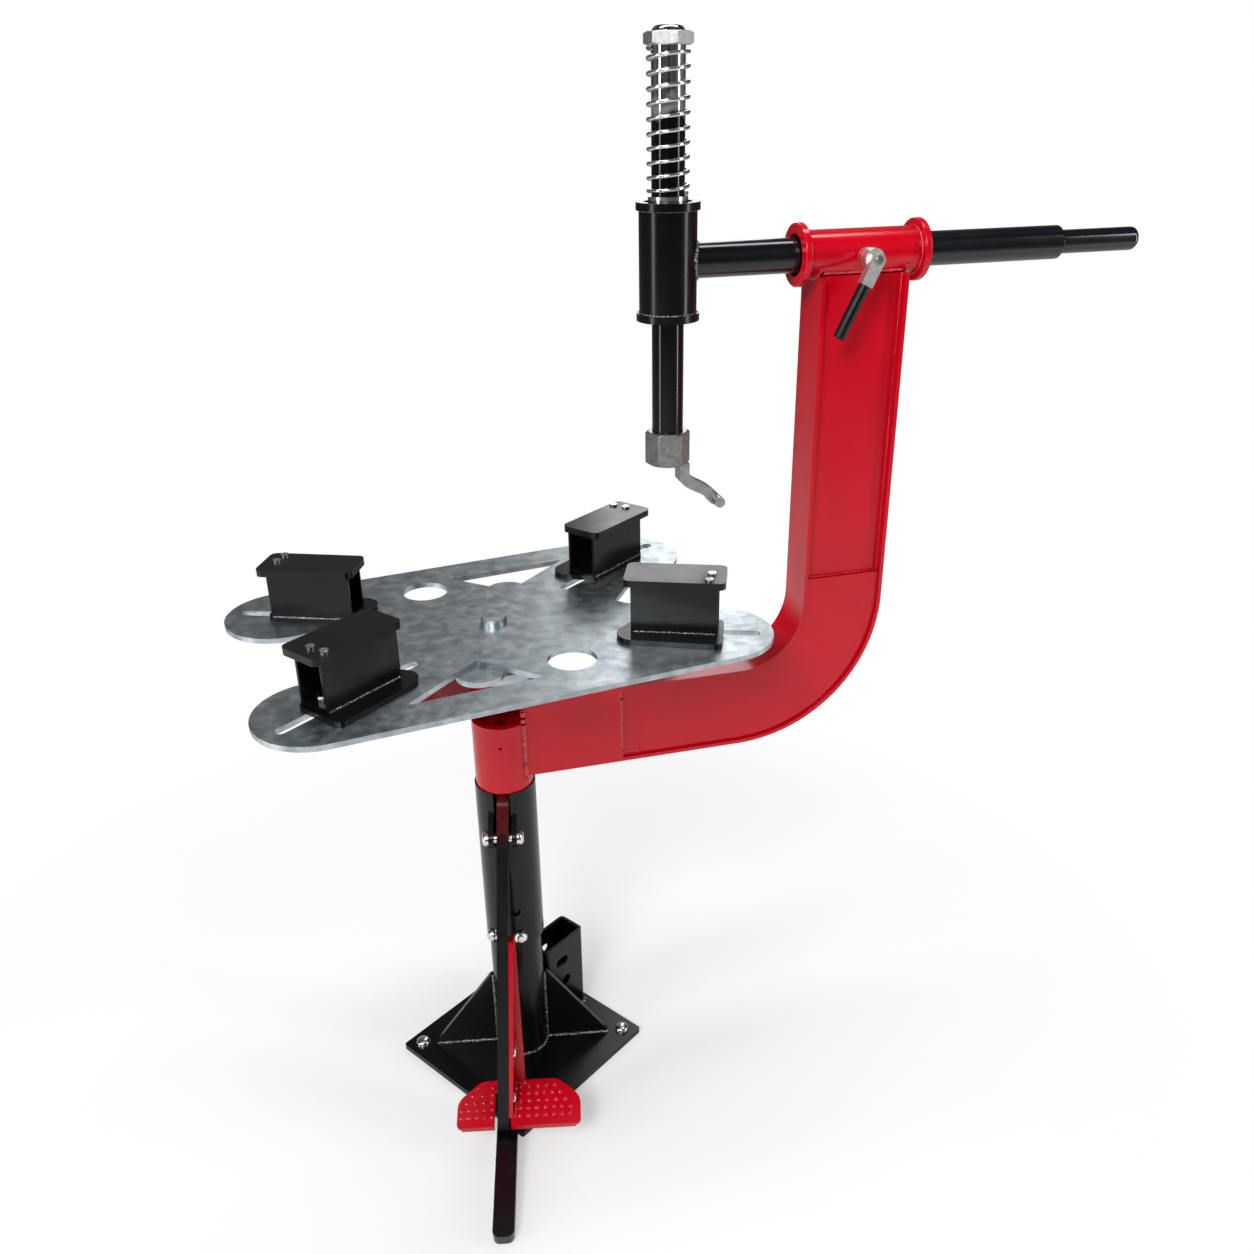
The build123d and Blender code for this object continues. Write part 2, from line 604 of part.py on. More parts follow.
with BuildPart() as bend_webs:
    for face in (CORNER_FACE - WEB_THK, -CORNER_FACE):
        extrude(bend_band(web_in, web_out, BOX_END, WEB_SEAM_Z, face), amount=WEB_THK)
save(bend_webs.part, "bend_webs")

with BuildPart() as column_webs:
    for face in (COLUMN_FACE - WEB_THK, -COLUMN_FACE):
        with BuildSketch(Plane.XZ.offset(face)):
            with Locations((BEND_X + web_in, WEB_SEAM_Z)):
                Rectangle(web_out - web_in, COLUMN_TOP - WEB_SEAM_Z, align=(Align.MIN, Align.MIN))
        extrude(amount=WEB_THK)
    clear_tubes()
save(column_webs.part, "column_webs")

# ---------------------------------------------------------------- turntable support
with BuildPart() as support_plate:
    with BuildSketch(Plane.XY.offset(SUPPORT_TOP - SUPPORT_THK)):
        with BuildLine():
            Polyline(*SUPPORT_OUTLINE, close=True)
        make_face()
        Circle(SUPPORT_HOLE_R, mode=Mode.SUBTRACT)
    extrude(amount=SUPPORT_THK)
save(support_plate.part, "support_plate")

with BuildPart() as spindle_housing:
    with BuildSketch(Plane.XY.offset(SUPPORT_TOP)):
        Circle(HOUSING_R)
        Circle(BUSH_R, mode=Mode.SUBTRACT)
    extrude(amount=HOUSING_TOP - SUPPORT_TOP)
save(spindle_housing.part, "spindle_housing")

with BuildPart() as spindle_bush:
    with BuildSketch(Plane.XY.offset(SUPPORT_TOP)):
        Circle(BUSH_R - RUN)
        Circle(SPINDLE_R + RUN, mode=Mode.SUBTRACT)
    extrude(amount=HOUSING_TOP - SUPPORT_TOP)
save(spindle_bush.part, "spindle_bush")

# ---------------------------------------------------------------- turntable
with BuildPart() as spindle:
    with BuildSketch(Plane.XZ):
        with BuildLine():
            Polyline((0, SPINDLE_BOTTOM), (SPINDLE_R, SPINDLE_BOTTOM), (SPINDLE_R, HUB_FLANGE_Z),
                     (HUB_FLANGE_R, HUB_FLANGE_Z), (HUB_FLANGE_R, HUB_FLANGE_Z + HUB_FLANGE_THK),
                     (HUB_R, HUB_FLANGE_Z + HUB_FLANGE_THK), (HUB_R, TABLE_TOP - TABLE_THK - BRACE_THK),
                     (SPINDLE_R, TABLE_TOP - TABLE_THK - BRACE_THK),
                     (SPINDLE_R, SPINDLE_TOP - SPINDLE_CHAMFER),
                     (SPINDLE_R - SPINDLE_CHAMFER, SPINDLE_TOP), (0, SPINDLE_TOP), close=True)
        make_face()
    revolve(axis=Axis.Z)
save(spindle.part, "spindle")

with BuildPart() as hub_brace:
    with BuildSketch(table_plane(TABLE_TOP - TABLE_THK - BRACE_THK)):
        SlotOverall(2 * (BRACE_REACH + BRACE_R), 2 * BRACE_R, rotation=BRACE_ANGLE)
        Circle(SPINDLE_R + RUN, mode=Mode.SUBTRACT)
    extrude(amount=BRACE_THK)
save(hub_brace.part, "hub_brace")


def turned(spot, turn):
    """Point turned about the table's axis."""
    angle = radians(turn)
    return (spot[0] * cos(angle) - spot[1] * sin(angle), spot[0] * sin(angle) + spot[1] * cos(angle))


lobe_spots = [turned((LOBE_RAD, 0), turn) for turn, ear in JAWS.values()]
slot_mid = (TABLE_SLOT_IN + TABLE_SLOT_OUT) / 2
with BuildPart() as turntable_plate:
    with BuildSketch(table_plane(TABLE_TOP - TABLE_THK)):
        with Locations(*lobe_spots):
            Circle(LOBE_R)
        make_hull()
        for turn in (0, 180):
            with BuildLine():
                Polyline(*[turned(spot, turn) for spot in WAIST], close=True)
            make_face(mode=Mode.SUBTRACT)
        with Locations(*lobe_spots):
            Circle(LOBE_R)
        for turn in (0, 180):
            with BuildLine():
                Polyline(*[turned(spot, turn) for spot in WINDOW], close=True)
            make_face(mode=Mode.SUBTRACT)
            with Locations(turned(ROUND_HOLE, turn)):
                Circle(ROUND_HOLE_R, mode=Mode.SUBTRACT)
        for turn, ear in JAWS.values():
            with Locations(turned((slot_mid, 0), turn)):
                SlotOverall(TABLE_SLOT_OUT - TABLE_SLOT_IN, TABLE_SLOT, rotation=turn, mode=Mode.SUBTRACT)
        Circle(SPINDLE_R + RUN, mode=Mode.SUBTRACT)
    extrude(amount=TABLE_THK)
save(turntable_plate.part, "turntable_plate")

# ---------------------------------------------------------------- jaws
jaw_floor = TABLE_TOP + GAP / 2
jaw_tube_floor = jaw_floor + JAW_BASE_THK
for tag, (turn, ear) in JAWS.items():
    with BuildPart() as jaw_base:
        with BuildSketch(table_plane(jaw_floor, turn)):
            with Locations(*[(along, across * ear) for along, across in JAW_BASE_CORNERS]):
                Circle(JAW_BASE_CORNER_R)
            with Locations((JAW_BASE_NOSE[0], JAW_BASE_NOSE[1] * ear)):
                Circle(JAW_BASE_NOSE_R)
            make_hull()
        extrude(amount=JAW_BASE_THK)
        with BuildSketch(table_plane(jaw_floor, turn)):
            with Locations(((JAW_KEY[0] + JAW_KEY[1]) / 2, 0)):
                Rectangle(JAW_KEY[1] - JAW_KEY[0], JAW_KEY_WIDTH)
        extrude(amount=-TABLE_THK)
        with BuildSketch(table_plane(jaw_floor, turn)):
            with Locations((JAW_BOLT_AT, 0)):
                Circle(JAW_BOLT_R + RUN)
        extrude(amount=2 * JAW_BASE_THK, both=True, mode=Mode.SUBTRACT)
    save(jaw_base.part, "jaw_" + tag + "_base")

    with BuildPart() as jaw_tube:
        tube_tall = JAW_TUBE_TOP - jaw_tube_floor
        with BuildSketch(table_plane(jaw_tube_floor, turn)):
            with Locations((JAW_TUBE_IN, 0)):
                Rectangle(JAW_TUBE_OUT - JAW_TUBE_IN, JAW_TUBE_WIDTH, align=(Align.MIN, Align.CENTER))
        extrude(amount=tube_tall)
        with BuildSketch(table_plane(jaw_tube_floor + JAW_TUBE_WALL, turn)):
            with Locations((JAW_TUBE_IN, 0)):
                Rectangle(JAW_TUBE_OUT - JAW_TUBE_IN, JAW_TUBE_WIDTH - 2 * JAW_TUBE_WALL,
                          align=(Align.MIN, Align.CENTER))
        extrude(amount=tube_tall - 2 * JAW_TUBE_WALL, mode=Mode.SUBTRACT)
        with BuildSketch(table_plane(jaw_tube_floor, turn)):
            with Locations((JAW_BOLT_AT, 0)):
                Circle(JAW_BOLT_R + RUN)
        extrude(amount=JAW_TUBE_WALL, mode=Mode.SUBTRACT)
    save(jaw_tube.part, "jaw_" + tag + "_tube")

    with BuildPart() as jaw_cap:
        with BuildSketch(table_plane(JAW_TUBE_TOP, turn)):
            with Locations(((JAW_TUBE_IN + JAW_TUBE_OUT) / 2, JAW_CAP_SHIFT * ear)):
                cap_long = JAW_TUBE_OUT - JAW_TUBE_IN + 2 * JAW_CAP_OVER
                RectangleRounded(cap_long, JAW_CAP_WIDTH, JAW_CAP_CORNER)
            with Locations(*[(along, across * ear) for along, across in JAW_SCREW_SPOTS]):
                Circle(JAW_SCREW_R + RUN, mode=Mode.SUBTRACT)
        extrude(amount=JAW_CAP_THK)
    save(jaw_cap.part, "jaw_" + tag + "_cap")

    with BuildPart() as jaw_fasteners:
        nut_top = TABLE_TOP - TABLE_THK - GAP
        bolt_foot = nut_top - JAW_NUT_THK - JAW_THREAD_OUT
        with BuildSketch(table_plane(jaw_tube_floor + JAW_TUBE_WALL, turn)):
            with Locations((JAW_BOLT_AT, 0)):
                RegularPolygon(JAW_HEAD_R, 6, major_radius=False)
        extrude(amount=JAW_HEAD_THK)
        with BuildSketch(table_plane(bolt_foot, turn)):
            with Locations((JAW_BOLT_AT, 0)):
                Circle(JAW_BOLT_R)
        extrude(amount=jaw_tube_floor + JAW_TUBE_WALL + JAW_HEAD_THK / 2 - bolt_foot)
        with BuildSketch(table_plane(nut_top, turn)):
            with Locations((JAW_BOLT_AT, 0)):
                RegularPolygon(JAW_HEAD_R, 6, major_radius=False)
        extrude(amount=-JAW_NUT_THK)
        with BuildSketch(table_plane(JAW_TUBE_TOP, turn)):
            with Locations(*[(along, across * ear) for along, across in JAW_SCREW_SPOTS]):
                Circle(JAW_SCREW_R)
        extrude(amount=JAW_CAP_THK + JAW_SCREW_R / 2)
        with BuildSketch(table_plane(JAW_TUBE_TOP + JAW_CAP_THK, turn)):
            with Locations(*[(along, across * ear) for along, across in JAW_SCREW_SPOTS]):
                Circle(JAW_SCREW_HEAD_R)
        extrude(amount=JAW_SCREW_R)
    save(jaw_fasteners.part, "jaw_" + tag + "_fasteners")

# ---------------------------------------------------------------- top sleeve
sleeve_long = TOP_SLEEVE[1] - TOP_SLEEVE[0]
with BuildPart() as top_sleeve:
    with BuildSketch(across_plane(TOP_SLEEVE[0])):
        Circle(TOP_SLEEVE_R)
        Circle(TOP_SLEEVE_BORE_R, mode=Mode.SUBTRACT)
    extrude(amount=sleeve_long)
    with Locations(Plane(origin=(LEVER_X, 0, LEVER_Z), z_dir=(0, -1, 0))):
        Cylinder(LEVER_SCREW_R + RUN, TOP_SLEEVE_R + GAP, align=STANDING, mode=Mode.SUBTRACT)
save(top_sleeve.part, "top_sleeve")

with BuildPart() as top_sleeve_rings:
    for x in (TOP_SLEEVE[0], TOP_SLEEVE[1] - RING_THK):
        with BuildSketch(across_plane(x)):
            Circle(RING_R)
            Circle(TOP_SLEEVE_R, mode=Mode.SUBTRACT)
        extrude(amount=RING_THK)
    fillet(top_sleeve_rings.edges().filter_by(GeomType.CIRCLE)
           .filter_by(lambda edge: edge.radius == RING_R), RING_ROUND)
save(top_sleeve_rings.part, "top_sleeve_rings")

with BuildPart() as lock_boss:
    with BuildSketch(Plane(origin=(LEVER_X, BOSS_FACE, LEVER_Z), z_dir=(0, 1, 0))):
        Circle(BOSS_R)
        Circle(LEVER_SCREW_R + RUN, mode=Mode.SUBTRACT)
    extrude(amount=BOSS_ROOT - BOSS_FACE)
    with Locations(across_plane(TOP_SLEEVE[0])):
        Cylinder(TOP_SLEEVE_R, sleeve_long, align=STANDING, mode=Mode.SUBTRACT)
save(lock_boss.part, "lock_boss")

with BuildPart() as arm_bushes:
    for x in (TOP_SLEEVE[0] + ARM_BUSH_INSET, TOP_SLEEVE[1] - ARM_BUSH_INSET - ARM_BUSH_LONG):
        with BuildSketch(across_plane(x)):
            Circle(TOP_SLEEVE_BORE_R - RUN)
            Circle(BAR_R + RUN, mode=Mode.SUBTRACT)
        extrude(amount=ARM_BUSH_LONG)
save(arm_bushes.part, "arm_bushes")

# ---------------------------------------------------------------- tool arm
with BuildPart() as arm_bar:
    with BuildSketch(across_plane(ROD_X)):
        Circle(BAR_R)
        Circle(BAR_BORE_R, mode=Mode.SUBTRACT)
    extrude(amount=BAR_END - ROD_X)
    with Locations((ROD_X, 0, ROD_SLEEVE[0])):
        Cylinder(ROD_SLEEVE_R, ROD_SLEEVE[1] - ROD_SLEEVE[0], align=STANDING, mode=Mode.SUBTRACT)
    chamfer(arm_bar.edges().filter_by(GeomType.CIRCLE)
            .filter_by(lambda edge: edge.radius == BAR_R), BAR_CHAMFER)
save(arm_bar.part, "arm_bar")

with BuildPart() as arm_tail:
    with BuildSketch(across_plane(TAIL_START)):
        Circle(TAIL_R)
    extrude(amount=TAIL_END - TAIL_START)
    fillet(arm_tail.faces().sort_by(Axis.X)[-1].edges(), TAIL_ROUND)
save(arm_tail.part, "arm_tail")

with BuildPart() as rod_sleeve:
    with BuildSketch(Plane((ROD_X, 0, ROD_SLEEVE[0]))):
        Circle(ROD_SLEEVE_R)
        Circle(ROD_SLEEVE_BORE_R, mode=Mode.SUBTRACT)
    extrude(amount=ROD_SLEEVE[1] - ROD_SLEEVE[0])
save(rod_sleeve.part, "rod_sleeve")

with BuildPart() as rod_sleeve_rings:
    for z in (ROD_SLEEVE[0], ROD_SLEEVE[1] - RING_THK):
        with BuildSketch(Plane((ROD_X, 0, z))):
            Circle(ROD_RING_R)
            Circle(ROD_SLEEVE_R, mode=Mode.SUBTRACT)
        extrude(amount=RING_THK)
save(rod_sleeve_rings.part, "rod_sleeve_rings")

with BuildPart() as rod_bushes:
    for z in (ROD_SLEEVE[0] + ROD_BUSH_INSET, ROD_SLEEVE[1] - ROD_BUSH_INSET - ROD_BUSH_LONG):
        with BuildSketch(Plane((ROD_X, 0, z))):
            Circle(ROD_SLEEVE_BORE_R - RUN)
            Circle(ROD_R + RUN, mode=Mode.SUBTRACT)
        extrude(amount=ROD_BUSH_LONG)
save(rod_bushes.part, "rod_bushes")

with BuildPart() as spring_seat:
    with BuildSketch(Plane((ROD_X, 0, ROD_SLEEVE[1] - ROD_BUSH_INSET))):
        Circle(SEAT_R)
        Circle(ROD_R + GAP, mode=Mode.SUBTRACT)
    extrude(amount=SEAT_TOP - ROD_SLEEVE[1] + ROD_BUSH_INSET)
save(spring_seat.part, "spring_seat")

# ---------------------------------------------------------------- tool rod
with BuildPart() as tool_rod:
    with BuildSketch(Plane((ROD_X, 0, ROD_BOTTOM))):
        Circle(ROD_R)
    extrude(amount=ROD_TOP - ROD_BOTTOM)
    fillet(tool_rod.faces().sort_by(Axis.Z)[-1].edges(), ROD_R / 2)
save(tool_rod.part, "tool_rod")

with BuildPart() as return_spring:
    spring_pitch = (NUT_Z[0] - SEAT_TOP - 2 * SPRING_WIRE_R) / SPRING_TURNS
    with BuildLine():
        coil = Helix(spring_pitch, spring_pitch * SPRING_TURNS, SPRING_R,
                     center=(ROD_X, 0, SEAT_TOP + SPRING_WIRE_R))
    with BuildSketch(Plane(origin=coil @ 0, z_dir=coil % 0)):
        Circle(SPRING_WIRE_R)
    sweep(is_frenet=True)
save(return_spring.part, "return_spring")

with BuildPart() as rod_nut:
    with BuildSketch(Plane((ROD_X, 0, NUT_Z[0]))):
        RegularPolygon(HEX_ACROSS / 2, 6, rotation=NUT_TURN)
        Circle(ROD_R + RUN, mode=Mode.SUBTRACT)
    extrude(amount=NUT_Z[1] - NUT_Z[0])
save(rod_nut.part, "rod_nut")

with BuildPart() as rod_coupler:
    with BuildSketch(Plane((ROD_X, 0, COUPLER_Z[0]))):
        RegularPolygon(HEX_ACROSS / 2, 6, rotation=COUPLER_TURN)
    extrude(amount=COUPLER_Z[1] - COUPLER_Z[0])
    fillet(rod_coupler.edges().filter_by(Axis.Z), HEX_EDGE)
    with BuildSketch(Plane((ROD_X, 0, COUPLER_Z[1]))):
        Circle(ROD_R + RUN)
    extrude(amount=ROD_BOTTOM - COUPLER_Z[1], mode=Mode.SUBTRACT)
save(rod_coupler.part, "rod_coupler")

def under_coupler(spot):
    """Point of the mounting head's outline, out from the rod and up from the coupler's foot."""
    return (ROD_X + spot[0], COUPLER_Z[0] + spot[1])


with BuildPart() as mount_head:
    with BuildSketch(Plane.XZ):
        with BuildLine():
            Polyline(under_coupler(HEAD_FRONT[-1]), under_coupler((HEAD_STEM[0], 0)),
                     under_coupler((HEAD_STEM[1], 0)), under_coupler(HEAD_BACK[0]))
            Spline(*[under_coupler(spot) for spot in HEAD_BACK])
            Polyline(under_coupler(HEAD_BACK[-1]), under_coupler(HEAD_TOE), under_coupler(HEAD_FRONT[0]))
            Spline(*[under_coupler(spot) for spot in HEAD_FRONT])
        make_face()
    extrude(amount=HEAD_WIDTH / 2, both=True)
    with BuildSketch(Plane.XZ):
        with Locations(under_coupler(HEAD_BAR_SPOT)):
            Circle(HEAD_BAR_R)
    extrude(amount=HEAD_BAR_LONG / 2, both=True)
save(mount_head.part, "mount_head")

# ---------------------------------------------------------------- clamping lever
lean = radians(LEVER_LEAN)
lever_way = (-sin(lean), 0, -cos(lean))
lever_plane = Plane(origin=(LEVER_X, LEVER_FACE, LEVER_Z), x_dir=lever_way, z_dir=(0, 1, 0))
with BuildPart() as lever_screw:
    with BuildSketch(Plane(origin=(LEVER_X, LEVER_TIP, LEVER_Z), z_dir=(0, -1, 0))):
        Circle(LEVER_SCREW_R)
    extrude(amount=LEVER_TIP - LEVER_FACE - GAP)
save(lever_screw.part, "lever_screw")

with BuildPart() as lever_hub:
    with BuildSketch(Plane(origin=(LEVER_X, LEVER_HUB[0], LEVER_Z), z_dir=(0, -1, 0))):
        Circle(LEVER_HUB_R)
    extrude(amount=LEVER_HUB[0] - LEVER_HUB[1])
    with BuildSketch(lever_plane):
        with Locations((LEVER_ARM_LONG / 2, 0)):
            Rectangle(LEVER_ARM_LONG, LEVER_ARM_WIDTH)
        Circle(LEVER_ARM_WIDTH / 2)
    extrude(amount=LEVER_HUB[1] - LEVER_FACE)
    with BuildSketch(Plane(origin=(LEVER_X, LEVER_HUB[0], LEVER_Z), z_dir=(0, -1, 0))):
        Circle(LEVER_SCREW_R + RUN)
    extrude(amount=LEVER_HUB[0] - LEVER_FACE, mode=Mode.SUBTRACT)
save(lever_hub.part, "lever_hub")

grip_mid = (LEVER_HUB[1] + LEVER_FACE) / 2
grip_out = Vector(-sin(lean), 0, -cos(lean))
with BuildPart() as lever_grip:
    grip_root = Vector(LEVER_X, grip_mid, LEVER_Z) + grip_out * LEVER_ARM_LONG
    with BuildSketch(Plane(origin=grip_root, z_dir=grip_out)):
        Circle(GRIP_R)
    extrude(amount=GRIP_END - LEVER_ARM_LONG)
    fillet(lever_grip.faces().sort_by(Axis.Z)[0].edges(), GRIP_ROUND)
save(lever_grip.part, "lever_grip")
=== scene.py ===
import bmesh
import bpy
import json
from math import cos, pi, radians, sin, sqrt
from mathutils import Matrix, Vector, noise


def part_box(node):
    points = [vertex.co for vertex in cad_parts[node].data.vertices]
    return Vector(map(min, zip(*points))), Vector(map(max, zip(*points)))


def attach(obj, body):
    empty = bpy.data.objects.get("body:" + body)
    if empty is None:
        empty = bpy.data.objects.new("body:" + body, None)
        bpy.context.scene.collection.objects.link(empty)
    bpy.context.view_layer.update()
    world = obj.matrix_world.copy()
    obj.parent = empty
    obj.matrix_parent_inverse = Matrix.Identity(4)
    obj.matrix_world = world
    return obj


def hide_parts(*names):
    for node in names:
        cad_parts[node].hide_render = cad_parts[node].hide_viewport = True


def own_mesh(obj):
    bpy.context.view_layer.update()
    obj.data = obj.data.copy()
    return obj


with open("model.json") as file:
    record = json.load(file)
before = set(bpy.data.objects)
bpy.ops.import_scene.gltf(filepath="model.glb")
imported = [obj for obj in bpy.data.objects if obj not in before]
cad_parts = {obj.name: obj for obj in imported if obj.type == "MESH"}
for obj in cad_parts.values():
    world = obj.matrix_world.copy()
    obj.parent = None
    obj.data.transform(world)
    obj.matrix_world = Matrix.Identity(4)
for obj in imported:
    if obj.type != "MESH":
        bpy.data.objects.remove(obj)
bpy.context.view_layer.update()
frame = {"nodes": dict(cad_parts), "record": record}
nodes = frame["nodes"]

# ------------------------------------------------------------------ camera
AZIMUTH = radians(-14.69)
PITCH = radians(25.41)
ROLL = radians(-0.84)
LENS = 32.25
SENSOR = 36
CAMERA_SPOT = (-0.1481, -1.165, 1.1855)
forward = Vector((-sin(AZIMUTH) * cos(PITCH), cos(AZIMUTH) * cos(PITCH), -sin(PITCH)))
level = Vector((cos(AZIMUTH), sin(AZIMUTH), 0))
upright = level.cross(forward)
right = level * cos(ROLL) + upright * sin(ROLL)
up = upright * cos(ROLL) - level * sin(ROLL)
camera_data = bpy.data.cameras.new("camera")
camera_data.sensor_width = SENSOR
camera_data.lens = LENS
camera = bpy.data.objects.new("camera", camera_data)
bpy.context.scene.collection.objects.link(camera)
place = Matrix((right, up, -forward)).transposed().to_4x4()
place.translation = CAMERA_SPOT
camera.matrix_world = place
bpy.context.scene.camera = camera


# ------------------------------------------------------------------ materials
DRIFT_SCALE = 7            # slow colour drift of a coat
GLOSS_SCALE = 38
PEEL_SCALE = 260
PEEL_DEPTH = 0.0002
COAT_ROUGHNESS = 0.12
# bright weld specks are painted glints; the same noise also sets the weld roughness
GLINT_AND_GLOSS_SCALE = 750
GLINT_EDGE = (0.56, 0.66)
LUMP_SCALE = 420
LUMP_STRENGTH = 0.7
LUMP_DEPTH = 0.0006
WELD_ROUGHNESS = (0.12, 0.28)
WELD_COAT = 0.6
GLOSS_TO_MOTTLE = 1.7      # how much finer the gloss of a metal is than its mottle
GRAIN_SCALE = 500
GRAIN_DEPTH = 0.00015


def new_material(name):
    """Material, its node tree, its Principled shader and its object-space coordinates."""
    material = bpy.data.materials.new(name)
    material.use_nodes = True
    tree = material.node_tree
    shader = tree.nodes["Principled BSDF"]
    coords = tree.nodes.new("ShaderNodeTexCoord").outputs["Object"]
    return material, tree, shader, coords


def add_noise(tree, coords, scale, detail=4.0, stretch=None):
    """Noise value, optionally stretched along an axis."""
    source = coords
    if stretch:
        mapping = tree.nodes.new("ShaderNodeMapping")
        mapping.inputs["Scale"].default_value = stretch
        tree.links.new(coords, mapping.inputs["Vector"])
        source = mapping.outputs["Vector"]
    node = tree.nodes.new("ShaderNodeTexNoise")
    node.inputs["Scale"].default_value = scale
    node.inputs["Detail"].default_value = detail
    tree.links.new(source, node.inputs["Vector"])
    return node.outputs["Fac"]


def spread(tree, value, low, high, start=0.3, stop=0.7):
    """Value mapped from start..stop on to low..high."""
    node = tree.nodes.new("ShaderNodeMapRange")
    node.inputs["From Min"].default_value = start
    node.inputs["From Max"].default_value = stop
    node.inputs["To Min"].default_value = low
    node.inputs["To Max"].default_value = high
    tree.links.new(value, node.inputs["Value"])
    return node.outputs["Result"]


def two_colours(tree, value, first, second, start=0.35, stop=0.65):
    """Colour that runs from the first to the second between start and stop."""
    node = tree.nodes.new("ShaderNodeValToRGB")
    node.color_ramp.elements[0].position = start
    node.color_ramp.elements[0].color = (*first, 1)
    node.color_ramp.elements[1].position = stop
    node.color_ramp.elements[1].color = (*second, 1)
    tree.links.new(value, node.inputs["Fac"])
    return node.outputs["Color"]


def add_bump(tree, shader, height, strength, distance):
    """Fine relief from a height value."""
    node = tree.nodes.new("ShaderNodeBump")
    node.inputs["Strength"].default_value = strength
    node.inputs["Distance"].default_value = distance
    tree.links.new(height, node.inputs["Height"])
    tree.links.new(node.outputs["Normal"], shader.inputs["Normal"])


def coated(name, first, second, rough, coat, peel=0.12, specular=0.3):
    """Powder coat or paint: slow colour drift, faint orange peel and uneven gloss."""
    material, tree, shader, coords = new_material(name)
    drift = add_noise(tree, coords, DRIFT_SCALE, 3)
    tree.links.new(two_colours(tree, drift, first, second), shader.inputs["Base Color"])
    gloss = add_noise(tree, coords, GLOSS_SCALE, 6)
    tree.links.new(spread(tree, gloss, *rough), shader.inputs["Roughness"])
    shader.inputs["Specular IOR Level"].default_value = specular
    shader.inputs["Coat Weight"].default_value = coat
    shader.inputs["Coat Roughness"].default_value = COAT_ROUGHNESS
    add_bump(tree, shader, add_noise(tree, coords, PEEL_SCALE, 2), peel, PEEL_DEPTH)
    return material


def blobby(name, colour, specular, glint):
    """Painted weld metal: glossy and lumpy, with small bright specks that are painted glints."""
    material, tree, shader, coords = new_material(name)
    # the lighter speck colour paints glints on the weld, and the same noise varies its roughness
    glint_and_gloss = add_noise(tree, coords, GLINT_AND_GLOSS_SCALE, 2)
    tree.links.new(two_colours(tree, glint_and_gloss, colour, glint, *GLINT_EDGE), shader.inputs["Base Color"])
    tree.links.new(spread(tree, glint_and_gloss, *WELD_ROUGHNESS), shader.inputs["Roughness"])
    shader.inputs["Specular IOR Level"].default_value = specular
    shader.inputs["Coat Weight"].default_value = WELD_COAT
    add_bump(tree, shader, add_noise(tree, coords, LUMP_SCALE, 3), LUMP_STRENGTH, LUMP_DEPTH)
    return material


def metal(name, first, second, rough, scale, stretch=None, bump=0.15):
    """Bare or plated metal: mottled colour, uneven gloss and fine grain."""
    material, tree, shader, coords = new_material(name)
    mottle = add_noise(tree, coords, scale, 6)
    tree.links.new(two_colours(tree, mottle, first, second), shader.inputs["Base Color"])
    gloss = add_noise(tree, coords, scale * GLOSS_TO_MOTTLE, 5)
    tree.links.new(spread(tree, gloss, *rough), shader.inputs["Roughness"])
    shader.inputs["Metallic"].default_value = 1.0
    add_bump(tree, shader, add_noise(tree, coords, GRAIN_SCALE, 3, stretch), bump, GRAIN_DEPTH)
    return material


red = coated("red_coat", first=(0.43, 0.0, 0.0075), second=(0.49, 0.0, 0.0095), rough=(0.15, 0.24),
             coat=0.12, peel=0.10, specular=0.3)
black = coated("black_coat", first=(0.002, 0.002, 0.0023), second=(0.0036, 0.0036, 0.004),
               rough=(0.18, 0.28), coat=0.05, peel=0.12, specular=0.24)
bar_black = coated("bar_black", first=(0.002, 0.0023, 0.0035), second=(0.004, 0.005, 0.007),
                   rough=(0.12, 0.20), coat=0.2, peel=0.06, specular=0.4)
grip_black = coated("grip_black", first=(0.003, 0.003, 0.003), second=(0.006, 0.006, 0.006),
                    rough=(0.22, 0.32), coat=0.1, peel=0.3, specular=0.25)
# the speck colours of both welds are painted glints
red_weld = blobby("red_weld", colour=(0.44, 0.0, 0.008), specular=0.5, glint=(0.55, 0.03, 0.04))
black_weld = blobby("black_weld", colour=(0.006, 0.006, 0.006), specular=0.8, glint=(0.5, 0.5, 0.51))
zinc = metal("zinc_plate", first=(0.31, 0.355, 0.38), second=(0.50, 0.545, 0.57), rough=(0.30, 0.42),
             scale=55, stretch=(1, 14, 1), bump=0.12)
bright = metal("bright_zinc", first=(0.62, 0.62, 0.60), second=(0.80, 0.80, 0.78), rough=(0.14, 0.26),
               scale=90)
grey_steel = metal("grey_steel", first=(0.24, 0.24, 0.23), second=(0.36, 0.36, 0.34), rough=(0.32, 0.42),
                   scale=160, bump=0.3)
satin = metal("satin_nut", first=(0.56, 0.56, 0.55), second=(0.70, 0.70, 0.68), rough=(0.34, 0.46),
              scale=200, bump=0.2)
head_steel = metal("head_steel", first=(0.34, 0.34, 0.33), second=(0.46, 0.46, 0.45), rough=(0.34, 0.44),
                   scale=140, bump=0.25)
bronze = metal("bronze", first=(0.45, 0.29, 0.13), second=(0.56, 0.38, 0.18), rough=(0.30, 0.45),
               scale=80)

RAGGED_SCALE = 60
RAGGED = 0.008             # how far the line between two finishes wanders
SPLIT_GLOSS_SCALE = 90
SPLIT_BUMP = 0.12
SPLIT_DEPTH = 0.0001
DRAWN = (1, 1, 0.2)        # grain drawn out along the rod


